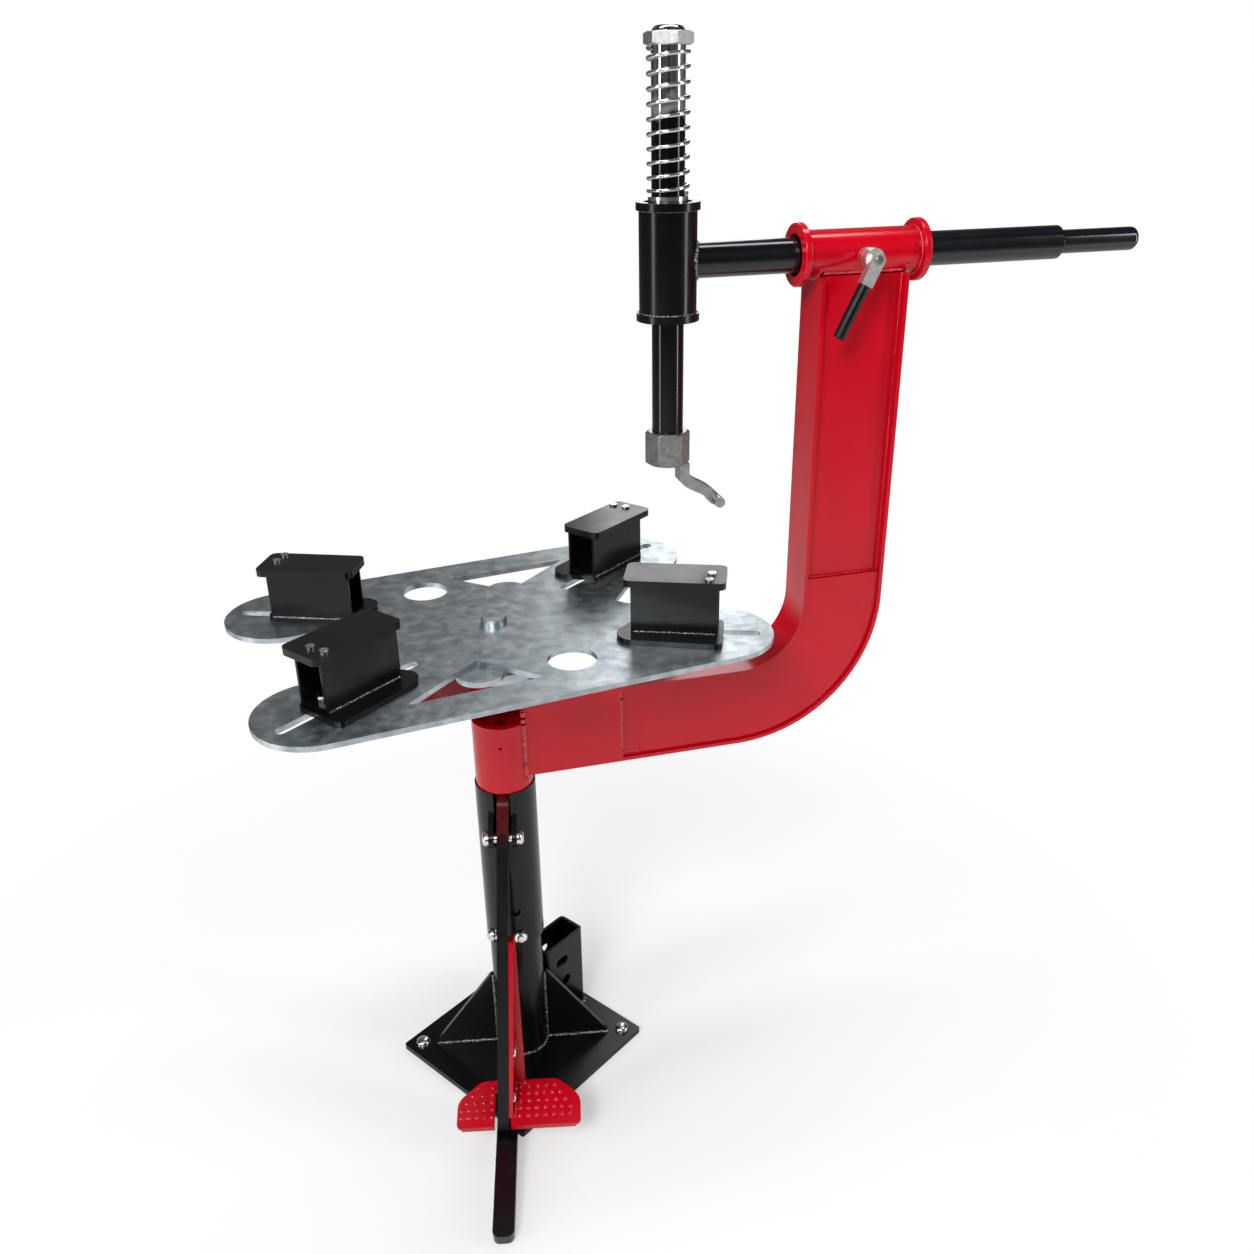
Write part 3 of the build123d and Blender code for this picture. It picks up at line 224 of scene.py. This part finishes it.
def split_by_height(name, below, above, start, stop, metallic, rough):
    """Material that changes between two heights along a ragged line: worn paint on the tool rod, a painted
    reflection on the breaker link.
    """
    material, tree, shader, coords = new_material(name)
    split = tree.nodes.new("ShaderNodeSeparateXYZ")
    tree.links.new(coords, split.inputs["Vector"])
    worn = tree.nodes.new("ShaderNodeMath")
    worn.operation = "ADD"
    tree.links.new(split.outputs["Z"], worn.inputs[0])
    tree.links.new(spread(tree, add_noise(tree, coords, RAGGED_SCALE, 5), -RAGGED, RAGGED), worn.inputs[1])
    share = spread(tree, worn.outputs["Value"], 0.0, 1.0, start, stop)
    tree.links.new(two_colours(tree, share, below, above, 0.0, 1.0), shader.inputs["Base Color"])
    tree.links.new(spread(tree, share, 0.0, metallic, 0.0, 1.0), shader.inputs["Metallic"])
    gloss = add_noise(tree, coords, SPLIT_GLOSS_SCALE, 4)
    tree.links.new(spread(tree, gloss, *rough), shader.inputs["Roughness"])
    shader.inputs["Specular IOR Level"].default_value = 0.3
    add_bump(tree, shader, add_noise(tree, coords, GRAIN_SCALE, 3, DRAWN), SPLIT_BUMP, SPLIT_DEPTH)
    return material


rod_finish = split_by_height("tool_rod_finish", below=(0.002, 0.002, 0.0025), above=(0.55, 0.55, 0.55),
                          start=1.163, stop=1.185, metallic=1.0, rough=(0.07, 0.15))
# dark red above the ragged line is a painted reflection of the red post sleeve in the black link
link_painted_reflection = split_by_height("link_painted_reflection", below=(0.0025, 0.0025, 0.003), above=(0.06, 0.0015, 0.002),
                           start=0.380, stop=0.395, metallic=0.0, rough=(0.26, 0.38))
OWN_FINISH = {"tool_rod": rod_finish, "breaker_link": link_painted_reflection, "lever_hub": satin,
              "mount_head": head_steel}
FINISHES = {"frame_red": red, "post_black": black, "plate_zinc": zinc, "bright_steel": bright,
            "coupler_grey": grey_steel, "bar_black": bar_black, "grip_black": grip_black, "bronze": bronze}
slot_of = {part["node"]: part["material_slot"] for part in frame["record"]["subparts"]}
for name, node in nodes.items():
    finish = OWN_FINISH.get(name, FINISHES[slot_of[name]])
    for place_in in node.material_slots:
        place_in.material = finish

# soft edges on the CAD pieces
PLAIN_EDGE = 0.0007
EDGE_ANGLE = radians(35)
EDGE = {"turntable_plate": 0.0012, "base_plate": 0.0012, "return_spring": 0.0, "top_sleeve_rings": 0.0028,
        "rod_sleeve_rings": 0.0024}
for name, node in nodes.items():
    width = EDGE.get(name, PLAIN_EDGE)
    if width:
        bevel = node.modifiers.new("edge", "BEVEL")
        bevel.width = width
        bevel.segments = 2
        bevel.limit_method = "ANGLE"
        bevel.angle_limit = EDGE_ANGLE
        bevel.harden_normals = True

# ------------------------------------------------------------------ detail pieces
MM = 0.001
X_WAY = Vector((1, 0, 0))
Y_WAY = Vector((0, 1, 0))
Z_WAY = Vector((0, 0, 1))
SHARP = 80                 # crease angle of lumpy or finely faceted pieces
BEAD_SIDES = 8
BEAD_STEP = 0.4            # spacing along a weld, as a share of its radius
BEAD_MEAN = 0.92
BEAD_RIPPLE = 0.12
BEAD_UNEVEN = 0.25
BEAD_NOISE = 260
PUDDLE = 4                 # steps from one weld puddle to the next
ARC_STEP = 5               # degrees between points on an arc
TURNED_SIDES = 96
HEX_EDGE = 0.4 * MM
HEX_RADIUS = 25 * MM
HEX_CHAMFER = 0.5
HEX_CREASE = 15
WIRE = 2.0 * MM
BASE_TURN = radians(-10.5)
ARM_TURN = radians(-12)
TABLE_TURN = radians(8)
JAW_ANGLES = {"a": 210, "b": 330, "c": 30, "d": 150}
side_way = Vector((cos(ARM_TURN), sin(ARM_TURN), 0))
front_way = Vector((sin(ARM_TURN), -cos(ARM_TURN), 0))


def add_piece(name, bm, material, body, smooth=40):
    """Finish a mesh as a piece that rides on a body."""
    bmesh.ops.recalc_face_normals(bm, faces=bm.faces)
    mesh = bpy.data.meshes.new(name)
    bm.to_mesh(mesh)
    bm.free()
    piece = bpy.data.objects.new(name, mesh)
    bpy.context.scene.collection.objects.link(piece)
    mesh.materials.append(material)
    for face in mesh.polygons:
        face.use_smooth = True
    mesh.set_sharp_from_angle(angle=radians(smooth))
    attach(piece, body)
    return piece


def spaced(path, step):
    """Points along a polyline at an even spacing."""
    spots = [path[0].copy()]
    spare = 0.0
    for start, stop in zip(path, path[1:]):
        run = (stop - start).length
        reach = step - spare
        while reach <= run:
            spots.append(start.lerp(stop, reach / run))
            reach += step
        spare = run - (reach - step)
    return spots


def ring_of(bm, centre, turn, radius, height, sides):
    """Ring of points round an axis, at a height along it."""
    ring = []
    for corner in range(sides):
        angle = 2 * pi * corner / sides
        ring.append(bm.verts.new(centre + turn @ Vector((radius * cos(angle), radius * sin(angle), height))))
    return ring


def join_rings(bm, low, high):
    """Band of faces between two rings."""
    for corner in range(len(low)):
        beside = (corner + 1) % len(low)
        bm.faces.new((low[corner], low[beside], high[beside], high[corner]))


def tube_along(bm, spots, radii, sides, closed=False):
    """Tube through the spots with its own radius at each of them."""
    rings = []
    last = len(spots) - 1
    for index, (spot, radius) in enumerate(zip(spots, radii)):
        before = spots[index - 1] if index or closed else spots[0]
        after = spots[(index + 1) % len(spots)] if index < last or closed else spots[-1]
        turn = (after - before).to_track_quat("Z", "Y")
        rings.append(ring_of(bm, spot, turn, radius, 0, sides))
    pairs = list(zip(rings, rings[1:])) + ([(rings[-1], rings[0])] if closed else [])
    for low, high in pairs:
        join_rings(bm, low, high)
    if not closed:
        bm.faces.new(rings[0][::-1])
        bm.faces.new(rings[-1])


def weld_bead(bm, path, radius, closed=False):
    """Run of overlapping weld puddles along a path, uneven in size."""
    step = radius * BEAD_STEP
    spots = spaced(path, step)
    if closed and (spots[-1] - spots[0]).length < step * 0.6:
        spots.pop()
    radii = []
    for index, spot in enumerate(spots):
        ripple = BEAD_RIPPLE * cos(2 * pi * index / PUDDLE)
        radii.append(radius * (BEAD_MEAN + ripple + BEAD_UNEVEN * noise.noise(spot * BEAD_NOISE)))
    tube_along(bm, spots, radii, BEAD_SIDES, closed)


def welds(name, paths, radius, material, body, closed=False):
    """Weld beads along several paths as one piece."""
    bm = bmesh.new()
    for path in paths:
        weld_bead(bm, path, radius, closed)
    return add_piece(name, bm, material, body, SHARP)


def circle(centre, radius, across=X_WAY, upward=Y_WAY, start=0.0, stop=360.0):
    """Points round a circle or along a part of it."""
    count = max(6, int(abs(stop - start) / ARC_STEP))
    spots = []
    for index in range(count + 1):
        angle = radians(start + (stop - start) * index / count)
        spots.append(centre + across * radius * cos(angle) + upward * radius * sin(angle))
    return spots


def lathe(name, profile, centre, axis, material, body, sides=32):
    """Turned piece: profile of radius and height along the axis, closed on the axis."""
    bm = bmesh.new()
    turn = Vector(axis).to_track_quat("Z", "Y")
    rings = []
    for radius, height in profile:
        if radius == 0:
            rings.append([bm.verts.new(centre + turn @ Vector((0, 0, height)))])
            continue
        rings.append(ring_of(bm, centre, turn, radius, height, sides))
    for low, high in zip(rings, rings[1:]):
        if len(low) == len(high):
            join_rings(bm, low, high)
            continue
        for corner in range(sides):
            beside = (corner + 1) % sides
            if len(low) == 1:
                bm.faces.new((low[0], high[corner], high[beside]))
            else:
                bm.faces.new((low[corner], low[beside], high[0]))
    return add_piece(name, bm, material, body)


def dome(radius, skirt, height, steps=7):
    """Profile of a domed head on a short skirt."""
    profile = [(0, 0), (radius, 0)]
    for index in range(steps):
        angle = pi / 2 * index / steps
        profile.append((radius * cos(angle), skirt + (height - skirt) * sin(angle)))
    return profile + [(0, height)]


def loose_object(name, bm):
    """Object made from a mesh under construction."""
    mesh = bpy.data.meshes.new(name)
    bm.to_mesh(mesh)
    bm.free()
    thing = bpy.data.objects.new(name, mesh)
    bpy.context.scene.collection.objects.link(thing)
    return thing


def hexagon(name, low, high, turned_by, material, body, node):
    """Hexagonal piece in the box of its CAD node, with scalloped chamfers at both ends."""
    tall = high.z - low.z
    bm = bmesh.new()
    bmesh.ops.create_cone(bm, cap_ends=True, segments=6, radius1=HEX_RADIUS, radius2=HEX_RADIUS, depth=tall)
    spin = Matrix.Rotation(radians(30 + turned_by), 3, "Z")
    bmesh.ops.rotate(bm, verts=bm.verts, cent=(0, 0, 0), matrix=spin)
    block = loose_object(name + "_block", bm)
    flat_r = HEX_RADIUS * cos(radians(30)) * 0.98
    slope = (HEX_RADIUS - flat_r) * HEX_CHAMFER
    bottom = [(flat_r, -tall / 2 - MM * 0.01), (HEX_RADIUS * 1.02, -tall / 2 + slope)]
    profile = bottom + [(radius, -height) for radius, height in bottom[::-1]]
    bm = bmesh.new()
    level_turn = Matrix.Identity(3)
    rings = [ring_of(bm, Vector((0, 0, 0)), level_turn, radius, height, TURNED_SIDES)
             for radius, height in profile]
    for below, above in zip(rings, rings[1:]):
        join_rings(bm, below, above)
    bm.faces.new(rings[0][::-1])
    bm.faces.new(rings[-1])
    turned = loose_object(name + "_turned", bm)
    cut = block.modifiers.new("cut", "BOOLEAN")
    cut.operation = "INTERSECT"
    cut.solver = "EXACT"
    cut.object = turned
    shape = bpy.data.meshes.new_from_object(block.evaluated_get(bpy.context.evaluated_depsgraph_get()))
    for thing in (block, turned):
        bpy.data.objects.remove(thing)
    bm = bmesh.new()
    bm.from_mesh(shape)
    bmesh.ops.translate(bm, verts=bm.verts, vec=(low + high) / 2)
    piece = add_piece(name, bm, material, body, HEX_CREASE)
    edge = piece.modifiers.new("edge", "BEVEL")
    edge.width = HEX_EDGE
    edge.segments = 2
    edge.limit_method = "ANGLE"
    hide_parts(node)


# welds of the red frame
SLEEVE_BEAD = 3.8 * MM
BEAM_ARC = 51              # degrees of the sleeve under the beam, to each side
FINE_BEAD = 1.3 * MM
STEP_BEAD = 1.9 * MM
STEP_MARGIN = 2 * MM
STEP_FOOT = 6 * MM
STEP_RUN = 26 * MM
TOP_BEAD = 2.0 * MM
TOP_OVERLAP = 4 * MM
TOP_ARC = (205, 335)
RING_THICK = 8 * MM
RING_BEAD = 1.5 * MM
BOSS_BEAD = 1.6 * MM
sides_low, sides_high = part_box("beam_sides")
flange_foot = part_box("frame_outer_flange")[0].z
webs_low, webs_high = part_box("column_webs")
top_low, top_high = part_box("top_sleeve")
sleeve_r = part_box("post_sleeve")[1].x
top_r = (top_high.z - top_low.z) / 2
top_z = (top_high.z + top_low.z) / 2
seam_y = sides_high.y
seam_x = sqrt(sleeve_r ** 2 - seam_y ** 2)
seams = []
for face in (-seam_y, seam_y):
    seams.append([Vector((seam_x, face, flange_foot)), Vector((seam_x, face, sides_high.z))])
seams.append(circle(Vector((0, 0, flange_foot)), sleeve_r, start=-BEAM_ARC, stop=BEAM_ARC))
welds("sleeve_weld", seams, SLEEVE_BEAD, red_weld, "stand")

bend_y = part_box("bend_webs")[1].y
fine_seams = []
step_seams = []
for face in (-1, 1):
    web_y = face * webs_high.y
    step_y = face * bend_y
    fine_seams.append([Vector((webs_low.x, web_y, webs_low.z)), Vector((webs_high.x, web_y, webs_low.z))])
    edge_y = face * (seam_y - MM)
    step_seams.append([Vector((sides_high.x, edge_y, sides_low.z + STEP_MARGIN)),
                       Vector((sides_high.x, edge_y, sides_high.z - STEP_MARGIN))])
    step_seams.append([Vector((sides_high.x, step_y, sides_low.z + STEP_FOOT)),
                       Vector((sides_high.x + STEP_RUN, step_y, sides_low.z + STEP_FOOT))])
    for x in (webs_low.x, webs_high.x):
        fine_seams.append([Vector((x, web_y, webs_low.z)), Vector((x, web_y, top_low.z + TOP_OVERLAP))])
welds("column_weld", fine_seams, FINE_BEAD, red_weld, "stand")
welds("step_weld", step_seams, STEP_BEAD, red_weld, "stand")

saddle_z = top_z - sqrt(top_r ** 2 - webs_high.y ** 2)
top_seams = []
for face in (-webs_high.y, webs_high.y):
    top_seams.append([Vector((webs_low.x, face, saddle_z)), Vector((webs_high.x, face, saddle_z))])
for x in (webs_low.x - TOP_OVERLAP, webs_high.x + TOP_OVERLAP):
    top_seams.append(circle(Vector((x, 0, top_z)), top_r, Y_WAY, Z_WAY, *TOP_ARC))
welds("top_sleeve_weld", top_seams, TOP_BEAD, red_weld, "stand")

ring_seams = []
for x in (top_low.x + RING_THICK, top_high.x - RING_THICK):
    ring_seams.append(circle(Vector((x, 0, top_z)), top_r, Y_WAY, Z_WAY))
welds("ring_weld", ring_seams, RING_BEAD, red_weld, "stand", True)

boss_low, boss_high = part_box("lock_boss")
boss = (boss_low + boss_high) / 2
boss_r = (boss_high.x - boss_low.x) / 2
boss_seam = []
for spot in circle(Vector((boss.x, 0, boss.z)), boss_r, X_WAY, Z_WAY):
    boss_seam.append(Vector((spot.x, -sqrt(top_r ** 2 - (spot.z - top_z) ** 2), spot.z)))
welds("boss_weld", [boss_seam], BOSS_BEAD, red_weld, "stand", True)

# welds of the rod sleeve
BAR_BEAD = 2.4 * MM
ROD_RING_BEAD = 1.0 * MM
rod_low, rod_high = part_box("rod_sleeve")
rod_x = (rod_low.x + rod_high.x) / 2
rod_sleeve_r = (rod_high.x - rod_low.x) / 2
bar_low, bar_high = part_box("arm_bar")
bar_r = (bar_high.z - bar_low.z) / 2
bar_seam = []
for spot in circle(Vector((0, 0, top_z)), bar_r, Y_WAY, Z_WAY):
    bar_seam.append(Vector((rod_x + sqrt(rod_sleeve_r ** 2 - spot.y ** 2), spot.y, spot.z)))
welds("bar_weld", [bar_seam], BAR_BEAD, black_weld, "tool_arm", True)
rod_seams = []
for z in (rod_low.z + RING_THICK, rod_high.z - RING_THICK):
    rod_seams.append(circle(Vector((rod_x, 0, z)), rod_sleeve_r))
welds("rod_ring_weld", rod_seams, ROD_RING_BEAD, black_weld, "tool_arm", True)

# welds of the base
BASE_BEAD = 2.7 * MM
GUSSET_HALF = 3 * MM
GUSSET_FOOT = 117 * MM
SOCKET_NEAR = 34 * MM
SOCKET_FAR = 106 * MM
SOCKET_HALF = 20 * MM
plate_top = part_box("base_plate")[1].z
gusset_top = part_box("gussets")[1].z
stub_low, stub_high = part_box("stub_tube")
stub_r = (stub_high.x - stub_low.x) / 2
base_seams = [circle(Vector((0, 0, plate_top)), stub_r)]
for quarter in range(3):
    angle = BASE_TURN + quarter * pi / 2
    out = Vector((cos(angle), sin(angle), 0))
    across = Vector((-sin(angle), cos(angle), 0))
    for face in (-GUSSET_HALF, GUSSET_HALF):
        foot = out * GUSSET_FOOT + across * face + Vector((0, 0, plate_top))
        root = out * stub_r + across * face + Vector((0, 0, plate_top))
        base_seams.append([foot, root])
        base_seams.append([root, root + Vector((0, 0, gusset_top - plate_top))])
socket_way = Vector((cos(BASE_TURN + pi / 4), sin(BASE_TURN + pi / 4), 0))
socket_side = Vector((-socket_way.y, socket_way.x, 0))
socket_corners = []
for along, across in ((SOCKET_NEAR, -SOCKET_HALF), (SOCKET_FAR, -SOCKET_HALF), (SOCKET_FAR, SOCKET_HALF),
                      (SOCKET_NEAR, SOCKET_HALF), (SOCKET_NEAR, -SOCKET_HALF)):
    socket_corners.append(socket_way * along + socket_side * across + Vector((0, 0, plate_top)))
base_seams.append(socket_corners)
welds("base_weld", base_seams, BASE_BEAD, black_weld, "stand")

# welds of the jaws
JAW_BEAD = 1.4 * MM
JAW_HALF = 20 * MM
JAW_NEAR = 162 * MM
JAW_FAR = 254 * MM
for tag, angle in JAW_ANGLES.items():
    turn = radians(angle) + TABLE_TURN
    out = Vector((cos(turn), sin(turn), 0))
    across = Vector((-sin(turn), cos(turn), 0))
    tube_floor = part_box("jaw_" + tag + "_tube")[0].z
    jaw_seams = []
    for face in (-JAW_HALF, JAW_HALF):
        near = out * JAW_NEAR + across * face + Vector((0, 0, tube_floor))
        far = out * JAW_FAR + across * face + Vector((0, 0, tube_floor))
        jaw_seams.append([near, far])
    welds("jaw_" + tag + "_weld", jaw_seams, JAW_BEAD, black_weld, "jaw_" + tag)

# breaker arm: welds on rib and shoe, and the raised dots of the shoe
SHOE_PITCH = radians(12.4)
SHOE_ASIDE = 3 * MM
SHOE_OUT = 162.5 * MM
SHOE_TOP = 61.5 * MM
RIB_BEAD = 2.4 * MM
RIB_SIDE = 5.2             # millimetres from the middle of the shoe to the face of the rib
DOT_SPACING = 9.5
DOT_ROWS = 5
DOT_SIDES = 10
DOT_SHAPE = ((2.6 * MM, -0.2 * MM), (2.2 * MM, 0.7 * MM), (1.2 * MM, 1.2 * MM))
FIRST_ROW = -17
WIDE_REACH = 66
ROW_TAPER = 6.5
shoe_spot = side_way * SHOE_ASIDE + front_way * SHOE_OUT + Vector((0, 0, SHOE_TOP))
shoe_back = -front_way * cos(SHOE_PITCH) + Vector((0, 0, sin(SHOE_PITCH)))
shoe_normal = side_way.cross(shoe_back)


def on_shoe(across, back):
    """Point on the upper face of the shoe, in millimetres from its middle."""
    return shoe_spot + side_way * across * MM + shoe_back * back * MM


def beside_rib(face):
    """Line on the shoe along one face of the rib."""
    return [on_shoe(face, 26), on_shoe(face, -20)]


rib_seams = [beside_rib(-RIB_SIDE), [on_shoe(9, 27), on_shoe(-4, 27)],
             [on_shoe(-RIB_SIDE, 26), on_shoe(9, 25)]]
welds("rib_weld", rib_seams, RIB_BEAD, red_weld, "breaker_arm")

bm = bmesh.new()
turn = shoe_normal.to_track_quat("Z", "Y")
for row in range(DOT_ROWS):
    back = FIRST_ROW + DOT_SPACING * row
    reach = WIDE_REACH - max(0, row - 1) * ROW_TAPER
    for start, stop in ((4, reach), (-reach - 2, -30)):
        count = int((stop - start) / DOT_SPACING)
        for index in range(count + 1):
            across = start + (stop - start) * index / max(count, 1) - 3
            centre = on_shoe(across, back)
            rings = [ring_of(bm, centre, turn, radius, height, DOT_SIDES) for radius, height in DOT_SHAPE]
            for low, high in zip(rings, rings[1:]):
                join_rings(bm, low, high)
            bm.faces.new(rings[0][::-1])
            bm.faces.new(rings[-1])
add_piece("shoe_dots", bm, red_weld, "breaker_arm", SHARP)

# floor bolts: washer and domed head in each corner of the base
BOLT_OUT = 137 * MM
WASHER_R = 9.5 * MM
WASHER_TALL = 1.6 * MM
HEAD_R = 8.8 * MM
HEAD_SKIRT = 1.6 * MM
HEAD_TALL = 5.2 * MM
washer = [(0, 0), (WASHER_R, 0), (WASHER_R, 1.2 * MM), (9 * MM, WASHER_TALL), (0, WASHER_TALL)]
for index in range(4):
    angle = BASE_TURN + index * pi / 2
    spot = Vector((cos(angle), sin(angle), 0)) * BOLT_OUT + Vector((0, 0, plate_top))
    on_washer = spot + Vector((0, 0, WASHER_TALL))
    number = str(index + 1)
    lathe("floor_bolt_washer_" + number, washer, spot, (0, 0, 1), bright, "stand")
    lathe("floor_bolt_" + number, dome(HEAD_R, HEAD_SKIRT, HEAD_TALL), on_washer, (0, 0, 1),
          bright, "stand")

# return spring with closed end coils
SPRING_TURNS = 10.5
CLOSED_TURNS = 0.7
CLOSED_RISE = 2.2 * WIRE
POINTS_PER_TURN = 28
WIRE_SIDES = 12
spring_low, spring_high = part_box("return_spring")
coil_r = (spring_high.x - spring_low.x) / 2 - WIRE
bottom = spring_low.z + WIRE
top = spring_high.z - WIRE
spots = []
for index in range(int(SPRING_TURNS * POINTS_PER_TURN) + 1):
    done = index / POINTS_PER_TURN
    if done < CLOSED_TURNS:
        height = bottom + CLOSED_RISE * done / CLOSED_TURNS
    elif done > SPRING_TURNS - CLOSED_TURNS:
        height = top - CLOSED_RISE * (SPRING_TURNS - done) / CLOSED_TURNS
    else:
        share = (done - CLOSED_TURNS) / (SPRING_TURNS - 2 * CLOSED_TURNS)
        height = bottom + CLOSED_RISE + (top - bottom - 2 * CLOSED_RISE) * share
    spots.append(Vector((rod_x + coil_r * cos(2 * pi * done), coil_r * sin(2 * pi * done), height)))
bm = bmesh.new()
tube_along(bm, spots, [WIRE] * len(spots), WIRE_SIDES)
spring = add_piece("spring_coil", bm, bright, "tool_arm", SHARP)
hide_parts("return_spring")
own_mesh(spring)

# socket head in the clamping lever
lever_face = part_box("lever_hub")[0].y
screw_low, screw_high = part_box("lever_screw")
screw_spot = Vector(((screw_low.x + screw_high.x) / 2, lever_face, (screw_low.z + screw_high.z) / 2))
SCREW_HEAD = ((0, 0), (4.8, 0), (4.8, 0.7), (4.2, 1.2), (2.4, 1.2), (2.4, 0.2), (0, 0.2))    # millimetres
SCREW_SIDES = 24
screw_profile = [(radius * MM, height * MM) for radius, height in SCREW_HEAD]
lathe("lever_screw_head", screw_profile, screw_spot, (0, -1, 0), grey_steel, "lock_lever",
      SCREW_SIDES)

# hexagons of the tool rod, turned in degrees
NUT_TURN = 35
COUPLER_TURN = -9
nut_low, nut_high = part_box("rod_nut")
coupler_low, coupler_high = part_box("rod_coupler")
hexagon("rod_nut_hex", nut_low, nut_high, NUT_TURN, satin, "tool_rod_body", "rod_nut")
hexagon("rod_coupler_hex", coupler_low, coupler_high, COUPLER_TURN, grey_steel,
        "tool_rod_body", "rod_coupler")

# ------------------------------------------------------------------ floor and light
FLOOR_HALF = 12
FLOOR_DROP = 0.0005
FLOOR_ROUGHNESS = 0.9
FADE_LOW = 0.35            # share of plain white under the machine
FADE_FROM = 0.1            # the floor turns white between these distances, so that no horizon shows
FADE_TO = 1.0
ROOM_SCALE = 1.6
ROOM_DARK = 0.02
ROOM_LIGHT = 0.20
floor_material, tree, shader, coords = new_material("studio_floor")
tree.links.new(two_colours(tree, add_noise(tree, coords, 3, 2), (0.80, 0.80, 0.80), (0.83, 0.83, 0.83)),
               shader.inputs["Base Color"])
shader.inputs["Roughness"].default_value = FLOOR_ROUGHNESS
away = tree.nodes.new("ShaderNodeVectorMath")
away.operation = "LENGTH"
tree.links.new(coords, away.inputs[0])
seen = tree.nodes.new("ShaderNodeMath")
seen.operation = "MULTIPLY"
tree.links.new(spread(tree, away.outputs["Value"], FADE_LOW, 1.0, FADE_FROM, FADE_TO), seen.inputs[0])
tree.links.new(tree.nodes.new("ShaderNodeLightPath").outputs["Is Camera Ray"], seen.inputs[1])
glow = tree.nodes.new("ShaderNodeEmission")
glow.inputs["Color"].default_value = (1.0, 1.0, 1.0, 1)
blend = tree.nodes.new("ShaderNodeMixShader")
tree.links.new(seen.outputs["Value"], blend.inputs["Fac"])
tree.links.new(shader.outputs["BSDF"], blend.inputs[1])
tree.links.new(glow.outputs["Emission"], blend.inputs[2])
tree.links.new(blend.outputs["Shader"], tree.nodes["Material Output"].inputs["Surface"])
mesh = bpy.data.meshes.new("floor")
bm = bmesh.new()
bmesh.ops.create_grid(bm, x_segments=4, y_segments=4, size=FLOOR_HALF)
bm.to_mesh(mesh)
bm.free()
floor = bpy.data.objects.new("floor", mesh)
bpy.context.scene.collection.objects.link(floor)
floor.data.materials.append(floor_material)
floor.location.z = -FLOOR_DROP

world = bpy.data.worlds.new("studio")
bpy.context.scene.world = world
world.use_nodes = True
world_tree = world.node_tree
background = world_tree.nodes["Background"]
background.inputs["Color"].default_value = (1.0, 1.0, 1.0, 1)
rays = world_tree.nodes.new("ShaderNodeLightPath").outputs["Is Camera Ray"]
way = world_tree.nodes.new("ShaderNodeTexCoord").outputs["Generated"]
room = spread(world_tree, add_noise(world_tree, way, ROOM_SCALE, 1), ROOM_DARK, ROOM_LIGHT)
brighter = world_tree.nodes.new("ShaderNodeMath")
brighter.operation = "MAXIMUM"
world_tree.links.new(room, brighter.inputs[0])
world_tree.links.new(rays, brighter.inputs[1])
world_tree.links.new(brighter.outputs["Value"], background.inputs["Strength"])
bpy.context.scene.view_settings.view_transform = "Standard"


def area_light(name, spot, target, size, power, tall=None):
    """Rectangular light at a spot, turned to its target."""
    data = bpy.data.lights.new(name, "AREA")
    data.shape = "RECTANGLE"
    data.size = size
    data.size_y = tall or size
    data.energy = power
    light = bpy.data.objects.new(name, data)
    light.location = spot
    light.rotation_euler = (Vector(target) - Vector(spot)).to_track_quat("-Z", "Y").to_euler()
    bpy.context.scene.collection.objects.link(light)


area_light("key", spot=(-1.5, -2.4, 2.9), target=(0.2, 0, 0.6), size=1.1, power=110)
area_light("left_strip", spot=(-2.2, -0.6, 1.2), target=(0.1, 0, 0.7), size=0.35, power=26, tall=2.4)
area_light("right_strip", spot=(2.4, -1.3, 1.3), target=(0.2, 0, 0.7), size=0.35, power=30, tall=2.4)
area_light("top_strip", spot=(0.2, 0.3, 3.0), target=(0.2, 0, 0.8), size=2.4, power=34, tall=0.5)
area_light("back_strip", spot=(1.0, 2.4, 2.2), target=(0.2, 0, 0.7), size=0.7, power=13, tall=2.0)
